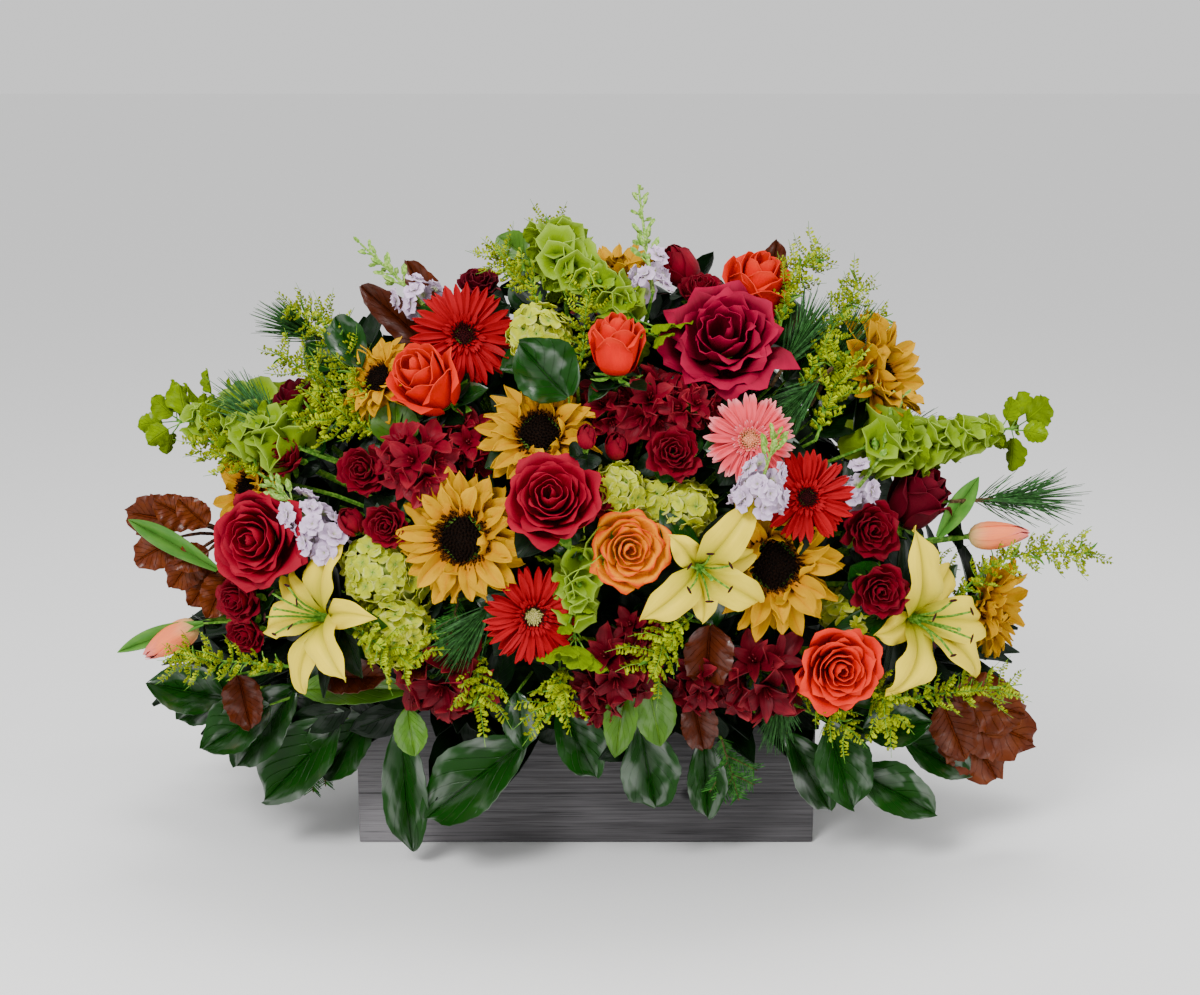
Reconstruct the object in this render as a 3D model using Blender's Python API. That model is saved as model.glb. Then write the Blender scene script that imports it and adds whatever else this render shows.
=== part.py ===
"""Floral table centerpiece: cut flowers and greenery standing in a weathered wooden planter box.

Metres, +Z up. The origin is the centre of the box's underside and the front faces -Y. Design
values are in millimetres and become metres where an object is made. Every bloom, or group of
blooms on one forked twig, is a solid of its own that sits on a stem of the greenery.
"""

import functools
import math
import random

import bmesh
import bpy
from mathutils import Matrix, Vector
from mathutils.bvhtree import BVHTree

MM = 0.001
FIT = 0.3  # gap between pieces that touch

# The planter box
BOX_LENGTH = 406
BOX_DEPTH = 152
BOX_HEIGHT = 127
BOARD = 12
LINER_WALL = 2
LINER_HEIGHT = 108
FOAM_TOP = 130

# The mass of packed stems under the blooms, a half ellipsoid on top of the foam
CORE_CENTRE = Vector((0, 0, 205))
CORE_REACH = Vector((270, 125, 255))
CORE_SIDES = 16
CORE_TIERS = 4
TIER_INSET = 0.82  # how far in a tier lies between its leaf tips
STEM_RADIUS = 2.6
TWIG_RADIUS = 2.0
ROOT_RADIUS = 4.0
ROOT_DEPTH = 70
ROOT_PLACES = ((-150, -25), (-75, 25), (0, -25), (75, 25), (150, -25))
FLOOR_CLEARANCE = 6

BLADE = 0.5  # half the thickness of a leaf or petal at its rib

# Blooms: node, kind, place, across, turn, lift. A place is the middle of the bloom, turn is
# how far it looks round from the front towards +X, and lift how far it looks up.
BLOOMS = (
    ("sunflowers_centre", "sunflower", (-35, -195, 395), 98, 0, 32),
    ("sunflowers_centre", "sunflower", (-95, -215, 315), 112, -18, 8),
    ("sunflower_right", "sunflower", (150, -200, 290), 118, 8, 8),
    ("sunflower_upper_right", "sunflower", (240, -75, 425), 100, 95, 25),
    ("sunflower_upper_left", "sunflower", (-170, -135, 430), 77, -35, 45),
    ("sunflower_left", "sunflower", (-280, -112, 330), 89, -50, 5),
    ("sunflower_far_right", "sunflower", (342, -115, 232), 95, 60, 0),
    ("sunflower_top", "sunflower", (25, -65, 505), 84, 0, 75),
    ("rose_crimson", "rose", (-25, -250, 353), 75, 0, 15),
    ("rose_burgundy", "rose", (110, -165, 466), 96, -5, 40),
    ("rose_red", "rose", (-262, -190, 308), 79, -20, 10),
    ("rose_orange", "rose", (35, -230, 310), 64, 10, 10),
    ("rose_coral_low", "rose", (204, -208, 206), 68, 10, 5),
    ("rose_coral_bud", "tall_rose", (25, -190, 465), 45, 0, 78),
    ("rose_coral_top", "tall_rose", (140, -105, 500), 57, 30, 65),
    ("rose_coral_left", "tall_rose", (-125, -185, 435), 56, -30, 40),
    ("rose_dark_left", "tall_rose", (-235, -105, 400), 48, -50, 60),
    ("rose_dark_right", "tall_rose", (275, -135, 330), 51, 60, 55),
    ("rose_dark_top", "spray_rose", (-88, -85, 502), 34, 0, 55),
    ("gerbera_top", "gerbera", (-98, -130, 464), 89, 10, 22),
    ("gerbera_low", "gerbera", (-40, -225, 255), 82, 12, 0),
    ("gerbera_right", "gerbera", (174, -214, 348), 76, 5, 8),
    ("gerbera_pink", "gerbera", (129, -210, 393), 73, 0, 18),
    ("lily_left", "lily", (-214, -225, 255), 112, -50, 20),
    ("lily_middle", "lily", (80, -260, 290), 103, 8, 2),
    ("lily_right", "lily", (286, -206, 242), 120, 35, 5),
    ("tulip_left", "tulip", (-350, -130, 205), 28, -80, -30),
    ("tulip_right", "tulip", (345, -130, 297), 24, 80, 5),
    ("hydrangea_left", "hydrangea", (-155, -175, 263), 66, -10, 10),
    ("hydrangea_top", "hydrangea", (-36, -155, 465), 55, 0, 40),
    ("hydrangea_middle", "hydrangea", (26, -208, 352), 42, 0, 15),
    ("hydrangea_middle", "hydrangea", (80, -198, 335), 47, 5, 15),
    ("hydrangea_right", "hydrangea", (216, -156, 238), 48, 20, 5),
    ("spray_roses_left", "spray_rose", (-175, -190, 365), 41, -15, 15),
    ("spray_roses_left", "spray_rose", (-245, -155, 370), 37, -30, 25),
    ("spray_roses_left", "spray_rose", (-155, -210, 325), 36, -10, 5),
    ("spray_roses_left", "bud", (-185, -200, 325), 25, -15, 40),
    ("spray_roses_centre", "spray_rose", (70, -214, 384), 42, 0, 20),
    ("spray_roses_centre", "bud", (25, -210, 388), 22, 5, 50),
    ("spray_roses_centre", "bud", (2, -234, 400), 18, 5, 60),
    ("spray_roses_right", "spray_rose", (230, -185, 315), 48, 10, 10),
    ("spray_roses_right", "spray_rose", (235, -205, 270), 45, 5, 5),
    ("spray_roses_low_left", "spray_rose", (-285, -160, 250), 41, -30, 0),
    ("spray_roses_low_left", "spray_rose", (-280, -160, 220), 33, -20, -10),
    ("spray_roses_top", "spray_rose", (96, -98, 498), 37, 0, 60),
    ("spray_roses_top", "bud", (79, -78, 514), 35, -40, 50),
    ("alstroemeria_upper_left", "alstroemeria", (-133, -207, 376), 60, -10, 15),
    ("alstroemeria_centre", "alstroemeria", (52, -182, 420), 62, 0, 30),
    ("alstroemeria_low_left", "alstroemeria", (-115, -205, 190), 75, -10, -20),
    ("alstroemeria_low_middle", "alstroemeria", (25, -215, 200), 65, 0, -15),
    ("alstroemeria_low_right", "alstroemeria", (145, -205, 190), 75, 10, -20),
    ("sunflowers_back", "sunflower", (-120, 175, 370), 105, 160, 25),
    ("sunflowers_back", "sunflower", (-30, 195, 300), 110, 175, 8),
    ("roses_back", "rose", (60, 180, 380), 76, 185, 20),
    ("roses_back", "rose", (150, 165, 350), 72, 205, 20),
    ("roses_back", "rose", (100, 185, 290), 70, 190, 5),
    ("roses_back", "rose", (10, 150, 450), 66, 180, 45),
    ("hydrangea_back", "hydrangea", (-190, 155, 290), 85, 150, 10),
    ("hydrangea_back", "hydrangea", (-130, 180, 240), 75, 165, 0),
    ("lilies_back", "lily", (215, 150, 260), 115, 215, 5),
)

# Stock: node, the stem from its foot to its tip
STOCKS = (
    ("stock_left", ((-200, -195, 298), (-218, -192, 325), (-250, -182, 352))),
    ("stock_middle", ((133, -240, 345), (136, -244, 366), (147, -236, 402))),
    ("stock_right", ((210, -175, 335), (240, -155, 370), (260, -125, 415))),
    ("stock_top", ((55, -140, 500), (50, -110, 535), (45, -30, 580))),
    ("stock_top_left", ((-132, -112, 486), (-157, -90, 508), (-190, -50, 531))),
)

# Beech: node, foot of the sprig, then each leaf as its foot and tip
BEECHES = (
    ("beech_left", (-300, -95, 285), (
        ((-315, -125, 282), (-345, -128, 270)),
        ((-330, -100, 300), (-365, -100, 320)),
        ((-345, -95, 300), (-395, -80, 305)),
        ((-345, -100, 288), (-385, -100, 265)),
        ((-325, -110, 280), (-352, -110, 245)),
    )),
    ("beech_right", (305, -95, 150), (
        ((320, -95, 135), (365, -85, 62)),
        ((325, -90, 130), (398, -80, 95)),
        ((320, -90, 145), (385, -90, 125)),
        ((310, -100, 140), (330, -110, 90)),
    )),
)

# Sprays of the greenery, each a stem from its foot to its tip
GOLDENRODS = (
    ((-165, -170, 400), (-190, -145, 440), (-225, -90, 485)),
    ((-170, -170, 395), (-210, -140, 425), (-265, -100, 450)),
    ((-160, -175, 390), (-195, -160, 400), (-230, -145, 405)),
    ((-30, -155, 485), (-55, -130, 515), (-80, -100, 535)),
    ((-5, -185, 430), (0, -165, 475), (5, -140, 510)),
    ((155, -145, 465), (170, -110, 505), (200, -55, 530)),
    ((170, -165, 415), (205, -120, 470), (255, -60, 500)),
    ((185, -170, 395), (220, -145, 425), (260, -110, 445)),
    ((285, -160, 230), (350, -140, 280), (445, -110, 275)),
    ((245, -150, 155), (305, -160, 170), (368, -140, 170)),
    ((150, -195, 190), (190, -195, 180), (220, -180, 135)),
    ((225, -170, 175), (245, -180, 175), (255, -170, 135)),
    ((-235, -170, 195), (-295, -170, 200), (-350, -150, 195)),
    ((-260, -150, 350), (-290, -130, 365), (-315, -105, 380)),
    ((-160, -190, 205), (-145, -210, 230), (-135, -210, 265)),
    ((-85, -200, 220), (-85, -215, 195), (-85, -210, 175)),
    ((-20, -200, 210), (-20, -215, 190), (-30, -205, 165)),
    ((85, -225, 255), (65, -235, 240), (45, -225, 210)),
    ((-200, 120, 400), (-245, 115, 440), (-285, 90, 465)),
    ((190, 125, 390), (240, 115, 430), (285, 90, 455)),
    ((-20, 120, 470), (-30, 105, 515), (-35, 75, 545)),
    ((250, 140, 190), (310, 140, 205), (365, 120, 200)),
    ((-250, 140, 190), (-310, 140, 205), (-360, 120, 200)),
    ((0, 175, 220), (0, 200, 200), (10, 205, 165)),
)
BELLS = (
    ((-230, -155, 375), (-290, -120, 390), (-345, -85, 385)),
    ((-20, -95, 545), (-20, -125, 525), (20, -145, 500), (50, -160, 470)),
    ((228, -145, 374), (290, -128, 376), (365, -85, 380)),
    ((5, -205, 325), (-5, -220, 285), (-8, -220, 235)),
    ((-60, 110, 500), (-30, 140, 500), (20, 165, 480)),
    ((-240, 130, 340), (-300, 115, 365), (-360, 85, 370)),
)
# Leaves: foot, tip, width at the middle
LEAVES = (
    ((-310, -110, 148), (-375, -120, 165), 38),
    ((-270, -120, 145), (-328, -130, 108), 42),
    ((-210, -120, 130), (-282, -110, 52), 50),
    ((-155, -150, 140), (-150, -125, 9), 34),
    ((-50, -170, 130), (-138, -150, 52), 52),
    ((-20, -180, 165), (10, -170, 98), 36),
    ((45, -180, 150), (60, -150, 62), 44),
    ((170, -150, 130), (212, -120, 48), 34),
    ((205, -150, 140), (228, -150, 62), 44),
    ((230, -130, 90), (302, -140, 52), 38),
    ((235, -140, 130), (292, -150, 140), 34),
    ((275, -100, 110), (338, -100, 72), 34),
    ((35, -205, 205), (25, -190, 122), 24),
    ((50, -205, 200), (62, -195, 135), 30),
    ((-240, -140, 165), (-135, -180, 178), 26),
    ((-55, -190, 180), (-50, -185, 128), 26),
    ((100, -140, 122), (106, -125, 42), 30),
    ((-145, -185, 165), (-140, -185, 122), 24),
    ((-150, -175, 380), (-150, -170, 418), 34),
    ((-215, -180, 190), (-160, -195, 195), 26),
    ((-180, -150, 440), (-205, -115, 478), 28),
    ((-45, -120, 525), (-72, -100, 542), 22),
    ((-20, -180, 430), (-30, -160, 472), 44),
    ((100, -215, 245), (98, -205, 188), 34),
    ((88, -195, 175), (98, -185, 128), 26),
    ((-290, -150, 182), (-280, -155, 135), 28),
    ((-305, -140, 270), (-392, -90, 302), 16),
    ((-320, -135, 222), (-402, -110, 188), 14),
    ((290, -150, 300), (328, -120, 345), 16),
    ((-120, -90, 440), (-190, -65, 498), 26),
    ((-110, -85, 450), (-152, -50, 518), 26),
    ((150, -80, 480), (162, -60, 535), 22),
)
# Needle tufts: foot, tip of the middle needle, length of a needle
PINES = (
    ((-240, -150, 380), (-285, -120, 412), 55),
    ((-65, -210, 270), (-105, -210, 222), 50),
    ((300, -140, 328), (400, -80, 318), 60),
    ((200, -145, 440), (150, -175, 398), 45),
    ((160, -190, 190), (160, -165, 138), 45),
    ((240, 130, 320), (330, 100, 340), 60),
    ((-240, 120, 420), (-290, 100, 450), 50),
)
FIRS = (
    ((115, -150, 125), (132, -130, 62)),
    ((-220, -110, 110), (-258, -90, 58)),
    ((-100, -205, 262), (-112, -210, 222)),
)

# Leaves that hang over the rim along the ends and the back, and stand between the back blooms
BACK_RIM_LEAVES = 8
BACK_FILL_LEAVES = 9

COLOURS = {
    "board": (0.24, 0.23, 0.22), "liner": (0.02, 0.02, 0.02), "foam": (0.04, 0.16, 0.06),
    "greenery": (0.05, 0.17, 0.04), "sunflower": (0.85, 0.48, 0.02), "rose": (0.35, 0.0, 0.02),
    "rose_coral": (0.85, 0.07, 0.03), "rose_orange": (0.9, 0.28, 0.06), "gerbera": (0.6, 0.0, 0.01),
    "gerbera_pink": (0.8, 0.2, 0.2), "lily": (0.82, 0.74, 0.32), "lilies": (0.82, 0.74, 0.32),
    "tulip": (0.75, 0.3, 0.22), "hydrangea": (0.57, 0.65, 0.18), "spray_rose": (0.25, 0.0, 0.01),
    "alstroemeria": (0.2, 0.0, 0.02), "stock": (0.68, 0.62, 0.7), "beech": (0.2, 0.04, 0.02),
}
ROUGHNESS = {"board": 0.85, "liner": 0.45, "foam": 0.95, "greenery": 0.45}
PETAL_ROUGHNESS = 0.6


# ---------------------------------------------------------------- shapes, as (points, triangles)

def loft(rings, start=None, end=None):
    """A closed skin over rings of points, drawn at each end to the point given or its middle."""
    n = len(rings[0])
    points = [p for ring in rings for p in ring]
    faces = []
    for i in range(len(rings) - 1):
        for j in range(n):
            a, b = i * n + j, i * n + (j + 1) % n
            c, d = b + n, a + n
            # Diagonals leave the even corners, so a thin blade splits alike on both faces.
            faces += [(a, b, c), (a, c, d)] if j % 2 == 0 else [(a, b, d), (b, c, d)]
    points.append(start if start is not None else sum(rings[0], Vector()) / n)
    points.append(end if end is not None else sum(rings[-1], Vector()) / n)
    first, last = len(points) - 2, len(points) - 1
    top = (len(rings) - 1) * n
    for j in range(n):
        faces.append((first, (j + 1) % n, j))
        faces.append((last, top + j, top + (j + 1) % n))
    return points, faces


def turned(profile, sides, wave=0.0):
    """Rings of (radius, height) round Z. With a wave, every other corner stands lower and in, but
    for the first ring's, which is the flat seat."""
    rings = []
    for layer, (radius, height) in enumerate(profile):
        ring = []
        for j in range(sides):
            low = (j + layer) % 2 if wave and layer else 0
            angle = 2 * math.pi * j / sides
            reach = radius * (1 - 0.12 * low)
            ring.append(Vector((reach * math.cos(angle), reach * math.sin(angle), height - wave * low)))
        rings.append(ring)
    return loft(rings)


def sideways(along, hint):
    """The unit vector square to along that lies nearest to hint."""
    side = hint - along * hint.dot(along)
    return side.normalized() if side.length > 1e-6 else along.orthogonal().normalized()


def tube(path, radii, sides=5, end_way=None):
    """A round stem through the path's points, with a radius at each. Its end is cut square to
    end_way, or to the stem."""
    rings = []
    side = Vector((0.3, 0.2, 0.9))
    for i, point in enumerate(path):
        along = (path[min(i + 1, len(path) - 1)] - path[max(i - 1, 0)]).normalized()
        if end_way and i == len(path) - 1:
            along = end_way
        side = sideways(along, side)
        other = along.cross(side)
        angles = [2 * math.pi * j / sides for j in range(sides)]
        rings.append([point + radii[i] * (side * math.cos(a) + other * math.sin(a)) for a in angles])
    return loft(rings)


def blade(path, halves, up, thickness=BLADE):
    """A leaf or petal from the path's first point to its last, with a half width at each between."""
    rings = []
    for i, half in enumerate(halves, 1):
        along = (path[i + 1] - path[i - 1]).normalized()
        side = up.cross(along).normalized()
        normal = along.cross(side)
        centre = path[i]
        rings.append([centre + side * half, centre + normal * thickness,
                      centre - side * half, centre - normal * thickness])
    return loft(rings, path[0], path[-1])


def lobed(path, reaches, sides, lobe=0.45):
    """A spike through the path's points, a reach at each. Every other corner of a ring stays
    short, on other sides from one swelling to the next, so the spike stands out in lobes."""
    rings = []
    side = Vector((0.2, -0.7, 0.7))
    for i, (point, reach) in enumerate(zip(path, reaches)):
        along = (path[min(i + 1, len(path) - 1)] - path[max(i - 1, 0)]).normalized()
        side = sideways(along, side)
        other = along.cross(side)
        ring = []
        for j in range(sides):
            angle = 2 * math.pi * j / sides
            out = reach * (1 if (j + i // 2) % 2 else lobe)
            ring.append(point + out * (side * math.cos(angle) + other * math.sin(angle)))
        rings.append(ring)
    return loft(rings)


def drop(foot, tip, radius, sides=4):
    """A small bud, pointed at both ends."""
    middle = foot.lerp(tip, 0.55)
    along = (tip - foot).normalized()
    side = sideways(along, Vector((0.5, 0.4, 0.7)))
    other = along.cross(side)
    angles = [2 * math.pi * j / sides for j in range(sides)]
    ring = [middle + radius * (side * math.cos(a) + other * math.sin(a)) for a in angles]
    return loft([ring], foot, tip)


def moved(shapes, pose):
    return [([pose @ p for p in points], faces) for points, faces in shapes]


# ---------------------------------------------------------------- blooms, looking along +Z

def polar(angle, radius, height):
    return Vector((radius * math.cos(angle), radius * math.sin(angle), height))


def petalled(petals, notch, wide, tip, half, over, under, middle, tilt=0.0):
    """A closed flower: kite-shaped petals round rings that have one corner for each petal.

    notch, wide and tip are (radius, height) places along a petal, and half is its half width at
    the widest. over and under list the rings inside the petals, as (radius, height), on the upper
    and the lower side. middle is the height at the centre. Every other petal lies tilt lower.
    """
    pitch = 2 * math.pi / petals
    swing = math.asin(half / wide[0])
    points = []
    for i in range(petals):
        fall = tilt * (i % 2)
        rim = ((0, notch, 0), (pitch / 2 - swing, wide, 0.7), (pitch / 2, tip, 1),
               (pitch / 2 + swing, wide, 0.7))
        for angle, (radius, height), share in rim:
            points.append(polar(i * pitch + angle, radius, height - fall * share))
    faces = []
    for rings, centre, upper in ((over, middle, True), (under, under[-1][1], False)):
        start = len(points)
        for radius, height in rings:
            points += [polar(i * pitch, radius, height) for i in range(petals)]
        points.append(Vector((0, 0, centre)))
        for i in range(petals):
            k = (i + 1) % petals
            near, far = start + i, start + k
            edge, wide_a, end, wide_b, next_edge = (4 * i, 4 * i + 1, 4 * i + 2, 4 * i + 3, 4 * k)
            skin = [(near, edge, wide_a), (near, wide_a, end), (near, end, far),
                    (far, end, wide_b), (far, wide_b, next_edge)]
            for ring in range(len(rings) - 1):
                a, b = near + ring * petals, far + ring * petals
                skin += [(a, b, b + petals), (a, b + petals, a + petals)]
            last = (len(rings) - 1) * petals
            skin.append((near + last, far + last, len(points) - 1))
            faces += skin if upper else [triangle[::-1] for triangle in skin]
    return points, faces


def sunflower(across):
    """Pointed petals round a domed disc. Returns the shapes and how deep the seat lies."""
    d = across
    head = petalled(12, (0.25 * d, 0.0), (0.36 * d, 0.035 * d), (0.5 * d, 0.07 * d), 0.074 * d,
                    [(0.22 * d, 0.02 * d), (0.12 * d, 0.055 * d)], [(0.06 * d, -0.12 * d)],
                    0.06 * d, 0.05 * d)
    return [head], 0.12 * d


def gerbera(across):
    d = across
    head = petalled(14, (0.2 * d, 0.0), (0.39 * d, 0.03 * d), (0.5 * d, 0.05 * d), 0.066 * d,
                    [(0.13 * d, 0.03 * d)], [(0.05 * d, -0.12 * d)], 0.05 * d, 0.04 * d)
    return [head], 0.12 * d


def lily(across):
    """Six curled-back petals round a trumpet, with stamens."""
    d = across
    head = petalled(6, (0.13 * d, -0.07 * d), (0.31 * d, 0.04 * d), (0.5 * d, -0.03 * d), 0.11 * d,
                    [(0.06 * d, -0.14 * d)], [(0.08 * d, -0.17 * d), (0.035 * d, -0.34 * d)], -0.16 * d)
    shapes = [head]
    for i in range(3):
        tip = polar(2.1 * i, 0.1 * d, 0.14 * d)
        shapes.append(drop(Vector((0, 0, -0.2 * d)), tip, 0.016 * d, 3))
    return shapes, 0.34 * d


def layered(across, tall, steps, sides):
    """A rose: cupped outer petals, then scalloped rings of petals stepping in to the heart."""
    r, h = across / 2, tall
    profile = [(0.2 * r, -0.5 * h), (0.85 * r, -0.25 * h), (1.0 * r, 0.2 * h)]
    profile += [(reach * r, height * h) for reach, height in steps]
    return [turned(profile, sides, 0.05 * h)], 0.5 * h


def rose(across):
    steps = ((0.76, 0.12), (0.68, 0.34), (0.46, 0.24), (0.36, 0.42))
    return layered(across, 0.74 * across, steps, 10)


def tall_rose(across):
    return layered(across, 1.25 * across, ((0.86, 0.3), (0.7, 0.2), (0.6, 0.44), (0.25, 0.36)), 10)


def spray_rose(across):
    return layered(across, 0.8 * across, ((0.7, 0.14), (0.62, 0.36), (0.25, 0.26)), 8)


def bud(across):
    r, h = across / 2, 1.4 * across
    profile = [(0.3 * r, -0.5 * h), (1.0 * r, -0.1 * h), (0.35 * r, 0.5 * h)]
    return [turned(profile, 6)], 0.5 * h


def tulip(across):
    r, h = across / 2, 2.1 * across
    profile = [(0.2 * r, -0.5 * h), (0.85 * r, -0.35 * h), (1.0 * r, -0.05 * h),
               (0.8 * r, 0.25 * h), (0.3 * r, 0.48 * h)]
    return [turned(profile, 6, 0.04 * h)], 0.5 * h


def hydrangea(across):
    """A ball with a four-petalled floret on eleven of a rhombic dodecahedron's twelve faces.

    The twelfth face is the flat seat, under the ball.
    """
    core_reach, floret_reach, floret = 0.2 * across, 0.44 * across, 0.2 * across
    to_seat = Vector((1, 1, 0)).rotation_difference(Vector((0, 0, -1))).to_matrix()
    points, index, faces = [], {}, []

    def corner(way):
        if way not in index:
            index[way] = len(points)
            points.append(to_seat @ Vector(way) * core_reach * 0.5)
        return index[way]

    for first, second in ((0, 1), (0, 2), (1, 2)):
        third = 3 - first - second
        for a in (-1, 1):
            for b in (-1, 1):
                ends = []
                for axis, sign, off in ((first, a, 0), (third, 1, 1), (second, b, 0), (third, -1, 1)):
                    way = [0, 0, 0]
                    if off:
                        way[first], way[second], way[third] = a, b, sign
                    else:
                        way[axis] = 2 * sign
                    ends.append(corner(tuple(way)))
                middle = sum((points[i] for i in ends), Vector()) / 4
                out = middle.normalized()
                if (points[ends[1]] - points[ends[0]]).cross(points[ends[2]] - points[ends[1]]).dot(out) < 0:
                    ends.reverse()
                if out.z < -0.99:
                    faces += [(ends[0], ends[1], ends[2]), (ends[0], ends[2], ends[3])]
                    continue
                faces += floret_on(points, ends, out, floret_reach, floret)
    return [(points, faces)], core_reach / math.sqrt(2)


def floret_on(points, ends, out, reach, radius):
    """Adds a floret that grows from a four-cornered face, and returns its triangles."""
    start = len(points)
    centre = out * reach
    for j in range(8):
        here, after = points[ends[j // 2]], points[ends[(j // 2 + 1) % 4]]
        way = here if j % 2 == 0 else (here + after) / 2
        flat = (way - out * way.dot(out)).normalized()
        points.append(centre + flat * radius * (1.0 if j % 2 == 0 else 0.5) - out * radius * 0.1 * (j % 2))
    points.append(centre + out * radius * 0.12)
    faces = []
    for k in range(4):
        a, b = ends[k], ends[(k + 1) % 4]
        petal, notch, petal_after = start + 2 * k, start + 2 * k + 1, start + (2 * k + 2) % 8
        faces += [(a, notch, petal), (a, b, notch), (b, petal_after, notch)]
        faces += [(start + 8, petal, notch), (start + 8, notch, petal_after)]
    return faces


def alstroemeria(across):
    """Funnels of narrow petals that part from one stalk."""
    d = across
    seat = 0.44 * d
    shapes = [tube([Vector((0, 0, -seat)), Vector((0, 0, -0.2 * d))], [TWIG_RADIUS] * 2, 4)]
    for flower in range(3):
        lean = polar(2 * math.pi * flower / 3 + 0.5, 1, 0.9).normalized()
        root = Vector((0, 0, -0.26 * d))
        path = [root, root + lean * 0.22 * d, root + lean * 0.44 * d]
        shapes.append(lobed(path, [0.025 * d, 0.05 * d, 0.27 * d], 6))
    return shapes, seat


KINDS = {
    "sunflower": sunflower, "rose": rose, "tall_rose": tall_rose, "spray_rose": spray_rose,
    "bud": bud, "gerbera": gerbera, "lily": lily, "tulip": tulip, "hydrangea": hydrangea,
    "alstroemeria": alstroemeria,
}


def pose_of(place, turn, lift):
    """The pose of a bloom that looks turn degrees round from the front and lift degrees up."""
    round_z = Matrix.Rotation(math.radians(turn), 4, "Z")
    return Matrix.Translation(place) @ round_z @ Matrix.Rotation(math.radians(90 - lift), 4, "X")


# ---------------------------------------------------------------- sprays

def resampled(path, count):
    """Points at equal shares of the way along a path."""
    return [point_along(path, i / (count - 1)) for i in range(count)]


def point_along(path, share):
    """The point at a share of the way along a path, with its stretches taken as equally long."""
    place = min(max(share, 0.0), 1.0) * (len(path) - 1)
    i = min(int(place), len(path) - 2)
    return path[i].lerp(path[i + 1], place - i)


def stock(path):
    """A flower spike: lobed florets packed round a stem, then small buds towards its tip."""
    reaches = [3, 15, 9, 17, 9, 15, 7, 7, 3, 4, 1]
    return [lobed(resampled(path, len(reaches)), reaches, 6)]


def beech_sprig(foot, leaves):
    """Leaves on short twigs that part from one foot."""
    shapes = []
    for base, tip in leaves:
        base, tip = Vector(base), Vector(tip)
        width = (tip - base).length * 0.34
        path = [foot, foot.lerp(base, 0.9), base.lerp(tip, 0.3), base.lerp(tip, 0.7), tip]
        shapes.append(blade(path, [1.6, width, width * 0.85], Vector((0.1, -0.95, 0.3)), 0.9))
    return shapes


def goldenrod(root, path):
    """A budded plume along an arching stem."""
    reaches = [3, 2, 11, 4, 9.5, 3, 7, 1]
    return [lobed([root] + resampled(path, len(reaches) - 1), reaches, 4, 0.3)]


def bells(root, path):
    """Bells of Ireland: whorls of shallow cups round a stem, with leaves at its tip."""
    reaches = [3, 2.5, 17, 3, 16, 3, 14, 2]
    shapes = [lobed([root] + resampled(path, len(reaches) - 1), reaches, 6, 0.7)]
    along = (path[-1] - path[-2]).normalized()
    side = sideways(along, Vector((0, -0.4, 1)))
    for i in range(3):
        out = (along * 0.6 + side * math.cos(2.1 * i) + along.cross(side) * math.sin(2.1 * i)).normalized()
        foot = path[-1] - along * 4
        shapes.append(blade([foot, foot + out * 16, foot + out * 36], [11], along, 0.8))
    return shapes


def pine(root, path, length, seed):
    """A tuft of ten needles that spread from a slim twig."""
    chance = random.Random(seed)
    foot, tip = path
    along = (tip - foot).normalized()
    side = sideways(along, Vector((0.2, -0.5, 0.8)))
    other = along.cross(side)
    ring = []
    for j in range(20):
        angle = 2 * math.pi * j / 20
        out = side * math.cos(angle) + other * math.sin(angle)
        if j % 2:
            ring.append(foot + out * 3 + along * 4)
        else:
            spread = chance.uniform(0.25, 0.6)
            ring.append(foot + (along + out * spread).normalized() * length * chance.uniform(0.8, 1.1))
    return [tube([root, foot], [STEM_RADIUS, 1.6], 3), loft([ring], foot - along * 4, foot + along * 7)]


def fir(root, path):
    """A flat frond with needled edges."""
    halves = [1.6, 13, 5, 12, 4, 10, 3, 7]
    points = [root] + resampled(path, len(halves) + 1)
    return [blade(points, halves, Vector((0, -1, 0.2)), 0.9)]


# ---------------------------------------------------------------- joining and clearing

def mesh_object(name, points, faces, scale=1.0):
    mesh = bpy.data.meshes.new(name)
    mesh.from_pydata([p * scale for p in points], [], faces)
    obj = bpy.data.objects.new(name, mesh)
    bpy.context.scene.collection.objects.link(obj)
    return obj


def fused(shapes):
    """The shapes joined into one solid by a Boolean union, without any piece left apart."""
    first, *rest = shapes
    if not rest:
        return first
    base = mesh_object("joined", *first)
    others = bpy.data.collections.new("joining")
    bpy.context.scene.collection.children.link(others)
    for points, faces in rest:
        piece = mesh_object("joining", points, faces)
        bpy.context.scene.collection.objects.unlink(piece)
        others.objects.link(piece)
    union = base.modifiers.new("join", "BOOLEAN")
    union.operation = "UNION"
    union.operand_type = "COLLECTION"
    union.solver = "MANIFOLD"
    union.collection = others
    graph = bpy.context.evaluated_depsgraph_get()
    joined = bmesh.new()
    joined.from_mesh(base.evaluated_get(graph).to_mesh())
    for obj in list(others.objects) + [base]:
        bpy.data.objects.remove(obj)
    bpy.data.collections.remove(others)
    return largest_body(joined)


def largest_body(joined):
    """The biggest connected body of a bmesh as a shape; scraps and sealed hollows are dropped."""
    bmesh.ops.triangulate(joined, faces=joined.faces)
    joined.verts.index_update()
    unseen = set(joined.verts)
    bodies = []
    while unseen:
        body, front = set(), [unseen.pop()]
        while front:
            vert = front.pop()
            body.add(vert)
            for edge in vert.link_edges:
                other = edge.other_vert(vert)
                if other in unseen:
                    unseen.discard(other)
                    front.append(other)
        bodies.append(body)
    biggest = max(bodies, key=len)
    order = {vert: i for i, vert in enumerate(biggest)}
    points = [vert.co.copy() for vert in order]
    faces = [tuple(order[v] for v in face.verts) for face in joined.faces if face.verts[0] in order]
    joined.free()
    return points, faces


def tree_of(shapes, margin):
    points, faces = [], []
    for more, triangles in shapes:
        start = len(points)
        points += more
        faces += [tuple(start + i for i in triangle) for triangle in triangles]
    return BVHTree.FromPolygons(points, faces, epsilon=margin)


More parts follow.
